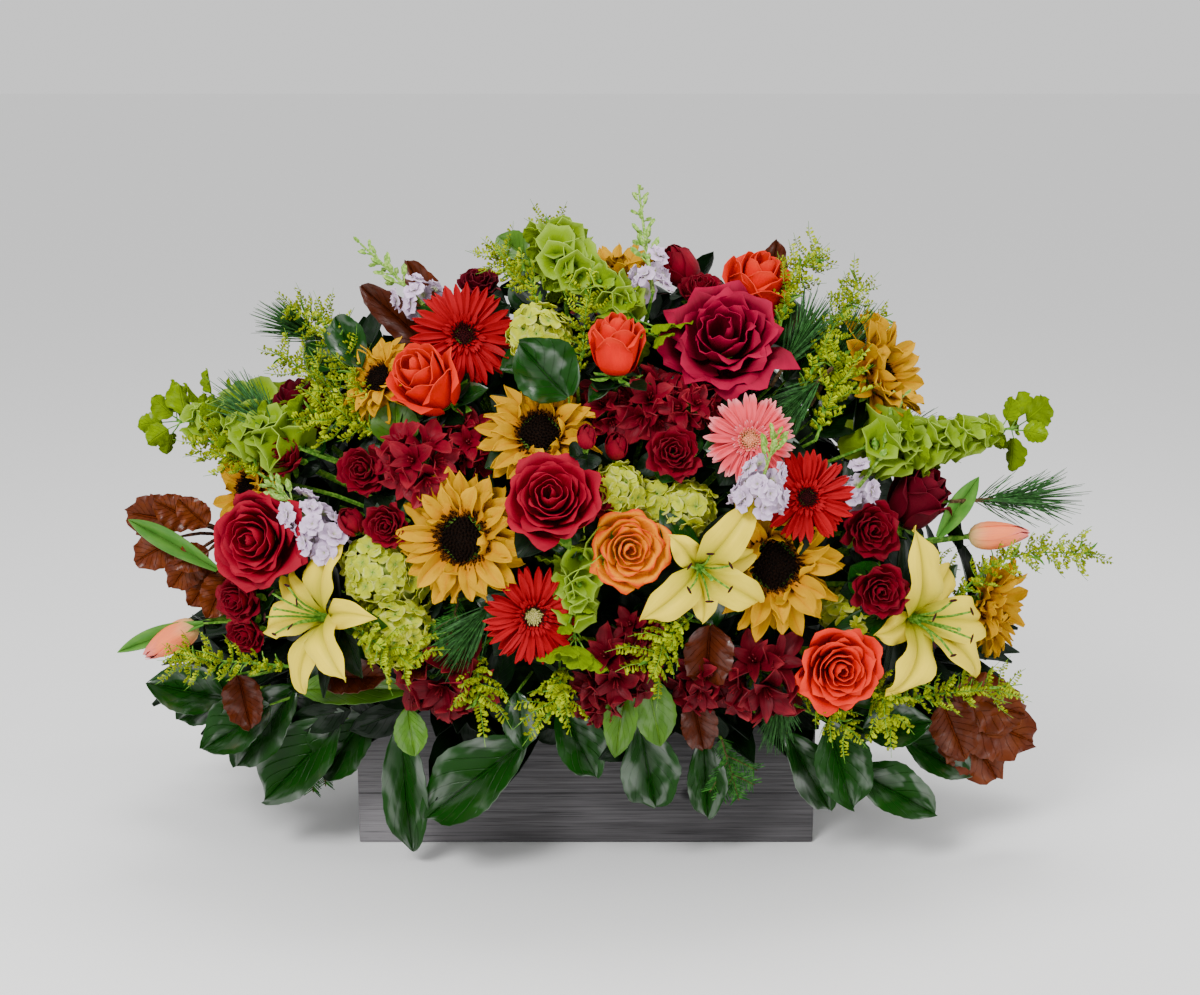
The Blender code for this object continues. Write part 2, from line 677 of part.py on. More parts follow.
def is_clear(shape, blooms):
    """Whether a shape keeps clear of the blooms and of the box."""
    if tree_of([shape], 0.4).overlap(blooms):
        return False
    for point in shape[0]:
        if point.z < FLOOR_CLEARANCE:
            return False
        near, normal, _, distance = blooms.find_nearest(point)
        if distance < 0.4 or ((point - near).dot(normal) < 0 and distance < 30):
            return False
    return True


def nudges():
    """Small moves to try, nearest first."""
    moves = [Vector()]
    for reach in (7, 14, 22, 32, 44):
        for turn in range(10):
            angle = 2 * math.pi * turn / 10
            moves.append(Vector((math.cos(angle) * reach, 0, math.sin(angle) * reach)))
        for depth in (-0.8, 0.8):
            moves += [Vector((x * reach * 0.6, depth * reach, z * reach * 0.6))
                      for x, z in ((0, 0), (1, 0), (-1, 0), (0, 1), (0, -1))]
    return moves


NUDGES = nudges()


def inside_core(point):
    """The place in the core from which a stem runs out to a point."""
    way = point - CORE_CENTRE
    scaled = Vector((way.x / CORE_REACH.x, way.y / CORE_REACH.y, way.z / CORE_REACH.z))
    scaled *= 0.72 / max(scaled.length, 0.72)
    place = CORE_CENTRE + Vector((scaled.x * CORE_REACH.x, scaled.y * CORE_REACH.y, scaled.z * CORE_REACH.z))
    place.z = max(place.z, FOAM_TOP + 14)
    return place


def bent_clear(make, blooms):
    """The shapes that make(nudge) gives for the nudge that clears the blooms best.

    The first shape is a stem or a leaf, which has to be clear. Of the small repeats after it,
    those that would cross a bloom are left out.
    """
    best = []
    for nudge in NUDGES:
        stem, *repeats = make(nudge)
        if not is_clear(stem, blooms):
            continue
        kept = [stem] + [shape for shape in repeats if is_clear(shape, blooms)]
        if len(kept) > len(best):
            best = kept
        if len(best) > 0.8 * (1 + len(repeats)):
            break
    return best


def spray_of(kind, points, blooms):
    """A spray that grows out of the core, bent clear of the blooms."""
    def make(nudge):
        path = [Vector(p) + nudge for p in points]
        return kind(inside_core(path[0]), path)
    return bent_clear(make, blooms)


def rooted_leaf(foot, tip, width, blooms):
    up = (foot - CORE_CENTRE).normalized() + Vector((0, -0.4 if foot.y < 0 else 0.4, 0.3))

    def make(nudge):
        moved_foot, moved_tip = foot + nudge * 0.7, tip + nudge
        root = inside_core(moved_foot)
        span = moved_tip - moved_foot
        rise = up.normalized() * span.length * 0.1
        path = [root, moved_foot, moved_foot + span * 0.35 + rise,
                moved_foot + span * 0.7 + rise * 0.7, moved_tip]
        return [blade(path, [2.2, width * 0.48, width * 0.38], up.normalized(), 0.9)]
    return bent_clear(make, blooms)


# ---------------------------------------------------------------- the pieces

def bloom_nodes():
    """Each bloom node's solid, and the seats its stems must reach as (point, way in)."""
    grouped = {}
    for node, kind, place, across, turn, lift in BLOOMS:
        shapes, seat = KINDS[kind](across)
        pose = pose_of(Vector(place), turn, lift)
        foot = pose @ Vector((0, 0, -seat))
        back = -(pose.to_3x3() @ Vector((0, 0, 1)))
        grouped.setdefault(node, []).append((moved(shapes, pose), foot, back))
    solids, seats = {}, {}
    for node, heads in grouped.items():
        shapes = [shape for head, _, _ in heads for shape in head]
        if len(heads) > 1:
            twig, foot, back = forked_twig([(foot, back) for _, foot, back in heads])
            shapes += twig
        else:
            _, foot, back = heads[0]
        solids[node] = fused(shapes)
        seats[node] = (foot, back)
    for node, path in STOCKS:
        path = [Vector(p) for p in path]
        back = (inside_core(path[0]) - path[0]).normalized()
        foot = path[0] + back * 14
        solids[node] = fused([tube([foot, path[0] - back * 2], [TWIG_RADIUS] * 2, 4)] + stock(path))
        seats[node] = (foot, back)
    for node, foot, leaves in BEECHES:
        foot = Vector(foot)
        back = (inside_core(foot) - foot).normalized()
        twig = tube([foot + back * 14, foot - back * 3], [TWIG_RADIUS] * 2, 4)
        solids[node] = fused([twig] + beech_sprig(foot, leaves))
        seats[node] = (foot + back * 14, back)
    return solids, seats


def forked_twig(feet):
    """A twig that joins several blooms to one foot. Returns its shapes, the foot and the way in."""
    middle = sum((foot for foot, _ in feet), Vector()) / len(feet)
    inward = (inside_core(middle) - middle).normalized()
    fork = middle + inward * 16
    shapes = []
    for foot, back in feet:
        shapes.append(tube([foot - back * 5, fork], [TWIG_RADIUS] * 2, 3))
    foot = fork + inward * 12
    shapes.append(tube([fork - inward * 3, foot], [STEM_RADIUS] * 2, 4))
    return shapes, foot, inward


def bloom_stem(foot, back, blooms):
    """The greenery's stem under a bloom, ending in a flat tip a hair below its seat."""
    tip = foot + back * FIT
    square = foot + back * 9

    for nudge in NUDGES:
        bend = square + nudge * 0.5
        path = [inside_core(bend), bend, tip]
        radii = [3.4, 3.0, STEM_RADIUS]
        # The stem's own bloom sits right on its tip, so the tip is left out of the test.
        if is_clear(tube(path[:2] + [tip + back * 2.5], radii, 3), blooms):
            return [tube(path, radii, 3, -back)]
    raise ValueError(f"no clear way in from the seat at {foot}")


def core():
    """The packed stems and leaves that everything stands out of: tiers of leaf tips, each tier
    turned half a leaf from the one under it."""
    base = FOAM_TOP + FIT
    top = CORE_CENTRE.z + CORE_REACH.z

    def corner(j, height, inset):
        angle = 2 * math.pi * j / CORE_SIDES
        share = max(0.0, (height - CORE_CENTRE.z) / CORE_REACH.z)
        reach = inset * math.sqrt(1 - share * share)
        return Vector((reach * CORE_REACH.x * math.cos(angle),
                       reach * CORE_REACH.y * math.sin(angle), height))

    rings = [[corner(j, base, TIER_INSET) for j in range(CORE_SIDES)]]
    rise = (top - base) * 0.9 / CORE_TIERS
    for tier in range(CORE_TIERS):
        foot = base + rise * tier
        rings.append([corner(j, foot + 0.14 * rise, 1.0) if (j + tier) % 2
                      else corner(j, foot + 0.45 * rise, TIER_INSET + 0.04) for j in range(CORE_SIDES)])
        rings.append([corner(j, foot + rise, TIER_INSET) for j in range(CORE_SIDES)])
    return loft(rings, None, Vector((0, 0, top)))


def prism(x, y, low, high, radius):
    return tube([Vector((x, y, low)), Vector((x, y, high))], [radius, radius], 6)


def back_leaves():
    """Leaves that hang over the back rim and the ends, then leaves between the back blooms."""
    chance = random.Random(4)
    leaves = []
    for i in range(BACK_RIM_LEAVES):
        x = -280 + 560 * i / (BACK_RIM_LEAVES - 1)
        foot = Vector((x * 0.9, 120 - 20 * abs(x) / 280, 142))
        tip = Vector((x * 1.12, 160 + chance.uniform(-8, 14) - 40 * abs(x) / 280,
                      60 + chance.uniform(-20, 25)))
        leaves.append((foot, tip, 42))
    for i in range(BACK_FILL_LEAVES):
        angle = math.radians(12 + 156 * i / (BACK_FILL_LEAVES - 1))
        height = 175 + 110 * (i % 3)
        reach = math.sqrt(max(0.1, 1 - ((height - 190) / 330) ** 2))
        foot = Vector((math.cos(angle) * 270 * reach, math.sin(angle) * 135 * reach, height))
        tip = foot + Vector((math.cos(angle) * 50, math.sin(angle) * 40, 40 - 22 * (i % 2)))
        leaves.append((foot, tip, 34))
    return leaves


def greenery(seats, blooms):
    shapes = [core()]
    for foot, back in seats.values():
        shapes += bloom_stem(foot, back, blooms)
    for path in GOLDENRODS:
        shapes += spray_of(goldenrod, path, blooms)
    for path in BELLS:
        shapes += spray_of(bells, path, blooms)
    planted = [(Vector(foot), Vector(tip), width) for foot, tip, width in LEAVES]
    for foot, tip, width in planted + back_leaves():
        shapes += rooted_leaf(foot, tip, width, blooms)
    for i, (foot, tip, length) in enumerate(PINES):
        tuft = functools.partial(pine, length=length, seed=i)
        shapes += spray_of(tuft, (foot, tip), blooms)
    for path in FIRS:
        shapes += spray_of(fir, path, blooms)
    for x, y in ROOT_PLACES:
        shapes.append(prism(x, y, FOAM_TOP - ROOT_DEPTH, FOAM_TOP + 30, ROOT_RADIUS))
    return fused(shapes)


def block(low, high):
    """A box between two corners."""
    ring = [(low.x, low.y), (high.x, low.y), (high.x, high.y), (low.x, high.y)]
    points = [Vector((x, y, z)) for z in (low.z, high.z) for x, y in ring]
    faces = [(3, 2, 1, 0), (4, 5, 6, 7)]
    faces += [(j, (j + 1) % 4, (j + 1) % 4 + 4, j + 4) for j in range(4)]
    return points, faces


def box_pieces():
    """The five boards of the planter."""
    x, y = BOX_LENGTH / 2, BOX_DEPTH / 2
    end_y = y - BOARD - FIT
    inner_x = x - BOARD - FIT
    top = BOX_HEIGHT
    return {
        "board_front": block(Vector((-x, -y, 0)), Vector((x, -y + BOARD, top))),
        "board_back": block(Vector((-x, y - BOARD, 0)), Vector((x, y, top))),
        "board_left": block(Vector((-x, -end_y, 0)), Vector((-x + BOARD, end_y, top))),
        "board_right": block(Vector((x - BOARD, -end_y, 0)), Vector((x, end_y, top))),
        "board_bottom": block(Vector((-inner_x, -end_y, 0)), Vector((inner_x, end_y, BOARD))),
    }


def cut(name, outer, cutters):
    """An object with the cutters' space taken out of it."""
    body = mesh_object(name, *outer, MM)
    for i, cutter in enumerate(cutters):
        tool = mesh_object(f"cutter_{name}_{i}", *cutter, MM)
        tool.hide_render = True
        tool.display_type = "WIRE"
        hole = body.modifiers.new("hole", "BOOLEAN")
        hole.operation = "DIFFERENCE"
        hole.object = tool
    return body


def liner():
    """An open waterproof tub inside the boards."""
    x = BOX_LENGTH / 2 - BOARD - 2 * FIT
    y = BOX_DEPTH / 2 - BOARD - 2 * FIT
    low = BOARD + FIT
    outer = block(Vector((-x, -y, low)), Vector((x, y, low + LINER_HEIGHT)))
    hollow = block(Vector((LINER_WALL - x, LINER_WALL - y, low + LINER_WALL)),
                   Vector((x - LINER_WALL, y - LINER_WALL, low + LINER_HEIGHT + 20)))
    return cut("liner", outer, [hollow])


def foam():
    """A block of wet flower foam with a hole for each main stem."""
    x = BOX_LENGTH / 2 - BOARD - LINER_WALL - 3 * FIT
    y = BOX_DEPTH / 2 - BOARD - LINER_WALL - 3 * FIT
    low = BOARD + LINER_WALL + 2 * FIT
    outer = block(Vector((-x, -y, low)), Vector((x, y, FOAM_TOP)))
    bottom = FOAM_TOP - ROOT_DEPTH - FIT
    holes = [prism(hx, hy, bottom, FOAM_TOP + 20, ROOT_RADIUS + 2 * FIT) for hx, hy in ROOT_PLACES]
    return cut("foam", outer, holes)


# ---------------------------------------------------------------- finishes

def colour_of(name):
    """The colour key that fits a node's name best."""
    special = {"rose_coral": "rose_coral", "rose_orange": "rose_orange", "gerbera_pink": "gerbera_pink"}
    for start, key in special.items():
        if name.startswith(start):
            return key
    fitting = [key for key in COLOURS if name.startswith(key)]
    return max(fitting, key=len) if fitting else name.split("_")[0].rstrip("s")


def finish(obj):
    key = colour_of(obj.name)
    material = bpy.data.materials.new(obj.name)
    material.use_nodes = True
    shader = material.node_tree.nodes["Principled BSDF"]
    shader.inputs["Base Color"].default_value = (*COLOURS[key], 1)
    shader.inputs["Roughness"].default_value = ROUGHNESS.get(key, PETAL_ROUGHNESS)
    shader.inputs["Metallic"].default_value = 0
    obj.data.materials.append(material)
    if key not in ("board", "liner", "foam"):
        obj.data.shade_smooth()
        obj.data.set_sharp_from_angle(angle=math.radians(35))


def main():
    for obj in list(bpy.data.objects):
        bpy.data.objects.remove(obj)
    boards = box_pieces()
    solids, seats = bloom_nodes()
    blooms = tree_of(list(solids.values()) + list(boards.values()), 0.4)
    solids["greenery"] = greenery(seats, blooms)
    objects = [mesh_object(name, *shape, MM) for name, shape in {**boards, **solids}.items()]
    objects += [liner(), foam()]
    for obj in objects:
        finish(obj)


if __name__ == "__main__":
    main()
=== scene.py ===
"""Floral table centerpiece: cut flowers and greenery over a weathered wooden planter box.

The tables place every flower and spray in millimetres, +Z up, with the origin at the centre of
the box's underside and the front towards -Y. The finished objects are in metres.
"""

import random
from math import cos, pi, radians, sin, sqrt, tau

import bpy
import numpy as np
from mathutils import Matrix, Vector


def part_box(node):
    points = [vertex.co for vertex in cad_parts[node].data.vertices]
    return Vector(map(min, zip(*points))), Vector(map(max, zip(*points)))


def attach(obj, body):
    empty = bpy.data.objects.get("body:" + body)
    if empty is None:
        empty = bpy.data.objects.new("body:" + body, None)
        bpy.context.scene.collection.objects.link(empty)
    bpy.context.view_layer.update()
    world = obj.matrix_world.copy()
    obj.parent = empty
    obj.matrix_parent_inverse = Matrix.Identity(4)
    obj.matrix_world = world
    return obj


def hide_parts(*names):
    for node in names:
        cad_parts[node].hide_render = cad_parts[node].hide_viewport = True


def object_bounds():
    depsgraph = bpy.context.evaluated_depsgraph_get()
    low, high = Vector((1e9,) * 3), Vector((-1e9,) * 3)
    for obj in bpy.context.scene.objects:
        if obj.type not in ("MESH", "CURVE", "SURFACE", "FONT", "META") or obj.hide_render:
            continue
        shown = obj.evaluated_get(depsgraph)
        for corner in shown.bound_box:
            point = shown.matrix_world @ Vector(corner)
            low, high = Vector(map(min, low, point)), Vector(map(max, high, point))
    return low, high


bl_info = {
    "name": "Floral table centerpiece",
    "version": (1, 0, 0),
    "blender": (4, 5, 0),
    "location": "3D View > Sidebar > Centerpiece",
    "description": "Dresses the centerpiece with petals, leaves, wood and light",
    "category": "Object",
}

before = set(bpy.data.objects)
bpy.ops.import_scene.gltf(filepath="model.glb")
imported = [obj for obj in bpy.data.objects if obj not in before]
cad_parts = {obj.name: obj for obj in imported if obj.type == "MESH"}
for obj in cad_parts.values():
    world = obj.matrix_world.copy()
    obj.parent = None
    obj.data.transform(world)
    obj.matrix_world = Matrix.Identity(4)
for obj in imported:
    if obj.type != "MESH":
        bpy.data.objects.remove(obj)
BOUNDS_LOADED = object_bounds()

MM = 0.001
WHITE = (1, 1, 1)
GOLDEN = radians(137.508)  # the turn from one petal or floret to the next as a plant grows


def table(text):
    """The lines of a table, each a tuple of its words and whole numbers."""
    return [tuple(int(word) if word.strip("-").isdigit() else word for word in line.split())
            for line in text.strip().splitlines()]


def places(numbers):
    """The places that a row's numbers give, three for each."""
    return [Vector(numbers[i:i + 3]) for i in range(0, len(numbers), 3)]


# Blooms: node, kind, place, across, turn, lift. A place is the middle of the bloom, turn is
# how far it looks round from the front towards +X, and lift how far it looks up. The last ten
# are small blooms tucked between the others.
BLOOMS = table("""
sunflowers_centre sunflower -35 -195 395 98 0 32
sunflowers_centre sunflower -95 -215 315 112 -18 8
sunflower_right sunflower 150 -200 290 118 8 8
sunflower_upper_right sunflower 244 -100 428 112 62 22
sunflower_upper_left sunflower -164 -158 432 76 -45 30
sunflower_left sunflower -280 -112 330 89 -50 5
sunflower_far_right sunflower 342 -115 232 95 60 0
sunflower_top sunflower 25 -65 505 84 0 75
rose_crimson rose -25 -250 355 73 -2 34
rose_burgundy wide_rose 110 -165 466 96 -5 40
rose_red rose -262 -190 308 79 -20 10
rose_orange rose 35 -230 310 64 10 10
rose_coral_low rose 204 -208 206 68 10 5
rose_coral_bud tall_rose 25 -190 465 45 0 78
rose_coral_top tall_rose 140 -105 500 57 30 65
rose_coral_left tall_rose -125 -185 435 56 -30 40
rose_dark_left tall_rose -235 -105 400 48 -50 60
rose_dark_right tall_rose 275 -135 330 51 60 55
rose_dark_top spray_rose -88 -85 502 34 0 55
gerbera_top gerbera -98 -130 464 89 10 22
gerbera_low gerbera -40 -225 255 82 12 0
gerbera_right gerbera 174 -214 348 76 5 8
gerbera_pink gerbera 129 -210 393 73 0 18
lily_left lily -228 -222 257 116 -45 20
lily_middle lily 94 -256 297 108 8 4
lily_right lily 284 -206 242 130 30 5
tulip_left tulip -350 -130 205 25 -80 -30
tulip_right tulip 345 -130 297 24 80 5
hydrangea_left hydrangea -155 -175 263 66 -10 10
hydrangea_top hydrangea -36 -155 465 55 0 40
hydrangea_middle hydrangea 26 -208 352 42 0 15
hydrangea_middle hydrangea 80 -198 335 47 5 15
hydrangea_right hydrangea 216 -156 238 48 20 5
spray_roses_left spray_rose -175 -190 365 41 -15 15
spray_roses_left spray_rose -245 -155 370 37 -30 25
spray_roses_left spray_rose -155 -210 325 36 -10 5
spray_roses_left bud -185 -200 325 25 -15 40
spray_roses_centre spray_rose 70 -214 384 42 0 20
spray_roses_centre bud 25 -210 388 22 5 50
spray_roses_centre bud 2 -234 400 18 5 60
spray_roses_right spray_rose 230 -185 315 48 10 10
spray_roses_right spray_rose 235 -205 270 45 5 5
spray_roses_low_left spray_rose -285 -160 250 41 -30 0
spray_roses_low_left spray_rose -280 -160 220 33 -20 -10
spray_roses_top spray_rose 96 -98 498 37 0 60
spray_roses_top bud 79 -78 514 35 -40 50
alstroemeria_upper_left alstroemeria -133 -207 376 60 -10 15
alstroemeria_centre alstroemeria 52 -182 420 62 0 30
alstroemeria_low_left alstroemeria -115 -205 190 75 -10 -20
alstroemeria_low_middle alstroemeria 25 -215 200 65 0 -15
alstroemeria_low_right alstroemeria 145 -205 190 75 10 -20
sunflowers_back sunflower -120 175 370 105 160 25
sunflowers_back sunflower -30 195 300 110 175 8
roses_back rose 60 180 380 76 185 20
roses_back rose 150 165 350 72 205 20
roses_back rose 100 185 290 70 190 5
roses_back rose 10 150 450 66 180 45
hydrangea_back hydrangea -190 155 290 85 150 10
hydrangea_back hydrangea -130 180 240 75 165 0
lilies_back lily 215 150 260 115 215 5
alstroemeria_centre alstroemeria 15 -178 415 50 -15 25
alstroemeria_centre alstroemeria 88 -190 418 46 15 25
alstroemeria_upper_left alstroemeria -92 -178 384 48 5 20
alstroemeria_low_middle alstroemeria 12 -200 170 42 0 -40
alstroemeria_low_middle alstroemeria 45 -205 232 44 5 -10
alstroemeria_low_right alstroemeria 93 -200 186 50 0 -30
spray_roses_centre spray_rose 8 -222 350 34 15 15
hydrangea_middle hydrangea 54 -190 338 42 0 15
hydrangea_left hydrangea -166 -194 285 60 -10 12
hydrangea_left hydrangea -150 -204 236 60 -5 -5
""")
# Stock: node, and the stem from its foot to its tip
STOCKS = table("""
stock_left -200 -195 298 -218 -192 325 -250 -182 352
stock_middle 133 -240 345 136 -244 366 147 -236 402
stock_right 210 -175 335 240 -155 370 260 -125 415
stock_top 55 -140 500 50 -110 535 45 -30 580
stock_top_left -132 -112 486 -157 -90 508 -190 -50 531
""")
# Beech: the foot of each sprig, then node, foot and tip of each leaf
BEECH_FEET = {"beech_left": Vector((-300, -95, 285)), "beech_right": Vector((305, -95, 150))}
BEECHES = table("""
beech_left -315 -125 282 -345 -128 270
beech_left -330 -100 300 -365 -100 320
beech_left -345 -95 300 -395 -80 305
beech_left -345 -100 288 -385 -100 265
beech_left -325 -110 280 -352 -110 245
beech_left -312 -105 262 -336 -112 230
beech_left -318 -112 300 -340 -118 326
beech_left -300 -120 262 -316 -135 226
beech_right 320 -95 135 365 -85 62
beech_right 325 -90 130 398 -80 95
beech_right 320 -90 145 385 -90 125
beech_right 310 -100 140 330 -110 90
""")
# Sprays of the greenery, each a stem from its foot to its tip. The last goldenrods are at the back.
BACK_GOLDENRODS = 6
GOLDENRODS = [places(row) for row in table("""
-165 -170 400 -190 -145 440 -225 -90 485
-170 -170 395 -210 -140 425 -265 -100 450
-160 -175 390 -195 -160 400 -230 -145 405
-30 -155 485 -55 -130 515 -80 -100 535
-5 -185 430 0 -165 475 5 -140 510
155 -145 465 170 -110 505 200 -55 530
170 -165 415 200 -125 465 235 -65 508
185 -170 385 200 -150 420 212 -135 452
285 -160 230 350 -140 280 445 -110 275
245 -150 155 305 -160 170 368 -140 170
150 -195 190 190 -195 180 220 -180 135
225 -170 175 245 -180 175 255 -170 135
-235 -170 195 -295 -170 200 -350 -150 195
-260 -150 350 -290 -130 365 -315 -105 380
-185 -218 246 -160 -234 234 -128 -230 216
-85 -200 220 -85 -215 195 -85 -210 175
-20 -200 210 -20 -215 190 -30 -205 165
85 -225 255 65 -235 240 45 -225 210
-200 120 400 -245 115 440 -285 90 465
190 125 390 240 115 430 285 90 455
-20 120 470 -30 105 515 -35 75 545
250 140 190 310 140 205 365 120 200
-250 140 190 -310 140 205 -360 120 200
0 175 220 0 200 200 10 205 165
""")]
BELLS = [places(row) for row in table("""
-230 -155 375 -290 -120 390 -345 -85 385
-20 -95 545 -20 -125 525 20 -145 500 50 -160 470
228 -145 374 290 -128 376 365 -85 380
5 -205 325 -5 -220 285 -8 -220 235
-60 110 500 -30 140 500 20 165 480
-240 130 340 -300 115 365 -360 85 370
""")]
# Leaves: sort, foot, tip, width at the middle
LEAVES = table("""
salal -310 -110 148 -375 -120 165 38
salal -270 -120 145 -328 -130 108 42
salal -210 -120 130 -282 -110 52 50
salal -155 -150 140 -150 -125 9 34
salal -250 -112 158 -304 -112 84 46
salal -185 -118 140 -232 -112 76 48
salal -295 -108 165 -354 -100 124 38
salal -50 -170 130 -138 -150 52 52
salal -20 -180 165 10 -170 98 36
salal 45 -180 150 60 -150 62 44
salal 170 -150 130 212 -120 48 34
salal 205 -150 140 228 -150 62 44
salal 230 -130 90 302 -140 52 38
salal 205 -112 150 266 -112 122 50
salal 235 -140 130 292 -150 140 34
salal 275 -100 110 338 -100 72 34
bright 35 -205 205 25 -190 122 24
bright 50 -205 200 62 -195 135 30
bright -240 -140 165 -135 -180 178 26
salal -55 -190 180 -50 -185 128 26
salal 100 -140 122 106 -125 42 30
bright -145 -185 165 -140 -185 122 24
bright -150 -175 380 -150 -170 418 34
copper -215 -180 190 -160 -195 195 26
salal -180 -150 440 -205 -115 478 28
bright -45 -120 525 -72 -100 542 22
salal -12 -196 424 -52 -192 468 46
salal 165 -120 425 203 -88 462 34
salal 190 -110 392 222 -80 436 36
salal 188 -122 382 238 -96 408 36
salal 150 -110 440 176 -70 490 32
copper 100 -215 245 98 -205 188 34
copper 88 -195 175 98 -185 128 26
copper -290 -150 182 -280 -155 135 28
tulip -305 -140 270 -392 -90 302 16
tulip -320 -135 222 -402 -110 188 14
tulip 290 -150 300 328 -120 345 16
copper -120 -90 440 -190 -65 498 26
copper -110 -85 450 -152 -50 518 26
copper 150 -80 480 162 -60 535 22
""")
# Needle tufts: foot, tip of the middle needle, length of a needle
PINES = table("""
-240 -150 380 -285 -120 412 55
-65 -210 270 -105 -210 222 50
300 -140 328 400 -80 318 60
200 -145 440 150 -175 398 45
160 -190 190 160 -165 138 45
185 -125 405 226 -100 472 52
150 -150 425 190 -120 482 46
240 130 320 330 100 340 60
-240 120 420 -290 100 450 50
""")
# Fir tips: foot, tip
FIRS = table("""
115 -150 125 132 -130 62
-220 -110 110 -258 -90 58
-100 -205 262 -112 -210 222
""")

# The dark mass in the middle, coloured as painted shade where the packed stems are, and the shell of leaves
# round it
FOAM_TOP = 130
CORE_CENTRE, CORE_REACH = Vector((0, 0, 205)), Vector((270, 125, 255))
SHELL_CENTRE, SHELL_REACH = Vector((0, 0, 200)), Vector((320, 180, 300))
ROOT_PLACES = ((-150, -25), (-75, 25), (0, -25), (75, 25), (150, -25))

# How deep each flower's seat lies under its middle, as a share of its width
SEATS = {"sunflower": 0.14, "gerbera": 0.14, "lily": 0.38, "rose": 0.4, "tall_rose": 0.6, "spray_rose": 0.42,
         "bud": 0.7, "tulip": 1.1, "hydrangea": 0.48, "alstroemeria": 0.44}


def rooted(foot):
    """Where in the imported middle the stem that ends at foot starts."""
    return CORE_CENTRE + (foot - CORE_CENTRE) * 0.35


def back_leaves():
    """Leaves that hang over the back rim and the ends, then leaves between the back flowers."""
    vary = random.Random(4).uniform
    for i in range(8):
        x = -280 + 560 * i / 7
        end = 20 * abs(x) / 280
        yield "salal", x * 0.9, 120 - end, 142, x * 1.12, 160 + vary(-8, 14) - 2 * end, 60 + vary(-20, 25), 42
    for i in range(9):
        angle = radians(12 + 156 * i / 8)
        height = 175 + 110 * (i % 3)
        reach = sqrt(max(0.1, 1 - ((height - 190) / 330) ** 2))
        foot = Vector((cos(angle) * 270 * reach, sin(angle) * 135 * reach, height))
        tip = foot + Vector((cos(angle) * 50, sin(angle) * 40, 40 - 22 * (i % 2)))
        yield "salal", *foot, *tip, 34


# ---------------------------------------------------------------- settings

def display(red, green, blue):
    """The linear colour of a display colour given from 0 to 255."""
    return tuple(((part / 255 + 0.055) / 1.055) ** 2.4 for part in (red, green, blue))


def colour_setting(name, description, *rgb):
    return bpy.props.FloatVectorProperty(
        name=name, description=description, subtype="COLOR", size=3, min=0, max=1, default=display(*rgb))


def length_setting(name, description, default):
    return bpy.props.FloatProperty(
        name=name, description=description, default=default, min=0.0002, unit="LENGTH")


class CenterpieceSizes(bpy.types.PropertyGroup):
    """Sizes and numbers of the centerpiece."""

    petal: length_setting("Petal thickness", "Thickness of every petal", 0.0005)
    leaf: length_setting("Leaf thickness", "Thickness of every leaf", 0.0007)
    edge: length_setting("Board edge", "Width of the worn edges of the boards", 0.0012)
    fill: bpy.props.IntProperty(
        name="Fill leaves", description="Number of dark leaves packed behind the flowers", default=690, min=0)


class CenterpieceColours(bpy.types.PropertyGroup):
    """Colours of the flowers, the leaves and the wood."""

    sunflower: colour_setting("Sunflower", "Petals of the sunflowers", 204, 152, 0)
    crimson: colour_setting("Crimson rose", "Petals of the red roses", 146, 0, 34)
    burgundy: colour_setting("Burgundy rose", "Petals of the dark roses", 112, 0, 30)
    coral: colour_setting("Coral rose", "Petals of the coral roses", 218, 16, 2)
    orange: colour_setting("Orange rose", "Petals of the orange rose", 242, 150, 0)
    spray: colour_setting("Spray rose", "Petals of the spray roses", 136, 2, 32)
    gerbera: colour_setting("Gerbera", "Petals of the red gerberas", 168, 0, 20)
    pink: colour_setting("Pink gerbera", "Petals of the pink gerbera", 240, 78, 92)
    lily: colour_setting("Lily", "Petals of the lilies", 232, 206, 46)
    tulip: colour_setting("Tulip", "Petals of the tulips", 250, 128, 76)
    hydrangea: colour_setting("Hydrangea", "Florets of the hydrangeas", 182, 190, 14)
    alstroemeria: colour_setting("Alstroemeria", "Petals of the alstroemerias", 122, 5, 30)
    stock: colour_setting("Stock", "Florets of the stock", 208, 184, 214)
    beech: colour_setting("Beech", "The copper leaves", 88, 32, 4)
    bright: colour_setting("Bright green", "Bells and young leaves", 126, 158, 0)
    plume: colour_setting("Plume", "Buds of the goldenrod", 150, 166, 0)
    salal: colour_setting("Salal", "The large glossy leaves", 17, 62, 6)
    needle: colour_setting("Needle", "Pine and fir needles", 44, 84, 38)
    wood: colour_setting("Wood", "The weathered boards", 92, 90, 92)


# ---------------------------------------------------------------- shader maths and finishes

class Num:
    """A number socket of a shader. Arithmetic on it adds Math nodes."""

    def __init__(self, finish, socket):
        self.finish, self.socket = finish, socket

    def made(self, operation, *values):
        return self.finish.number("ShaderNodeMath", {"operation": operation}, dict(enumerate(values)))

    __add__ = __radd__ = lambda self, other: self.made("ADD", self, other)
    __mul__ = __rmul__ = lambda self, other: self.made("MULTIPLY", self, other)
    __sub__ = lambda self, other: self.made("SUBTRACT", self, other)
    __rsub__ = lambda self, other: self.made("SUBTRACT", other, self)
    __pow__ = lambda self, other: self.made("POWER", self, other)
    __abs__ = lambda self: self.made("ABSOLUTE", self)

    def wave(self):
        """0 at whole numbers, 1 half way between them."""
        return self.made("PINGPONG", self, 0.5) * 2

    def step(self, low, high):
        """A smooth rise from 0 at low to 1 at high."""
        return self.finish.number("ShaderNodeMapRange", {"interpolation_type": "SMOOTHSTEP"},
                                  {0: self, 1: low, 2: high})


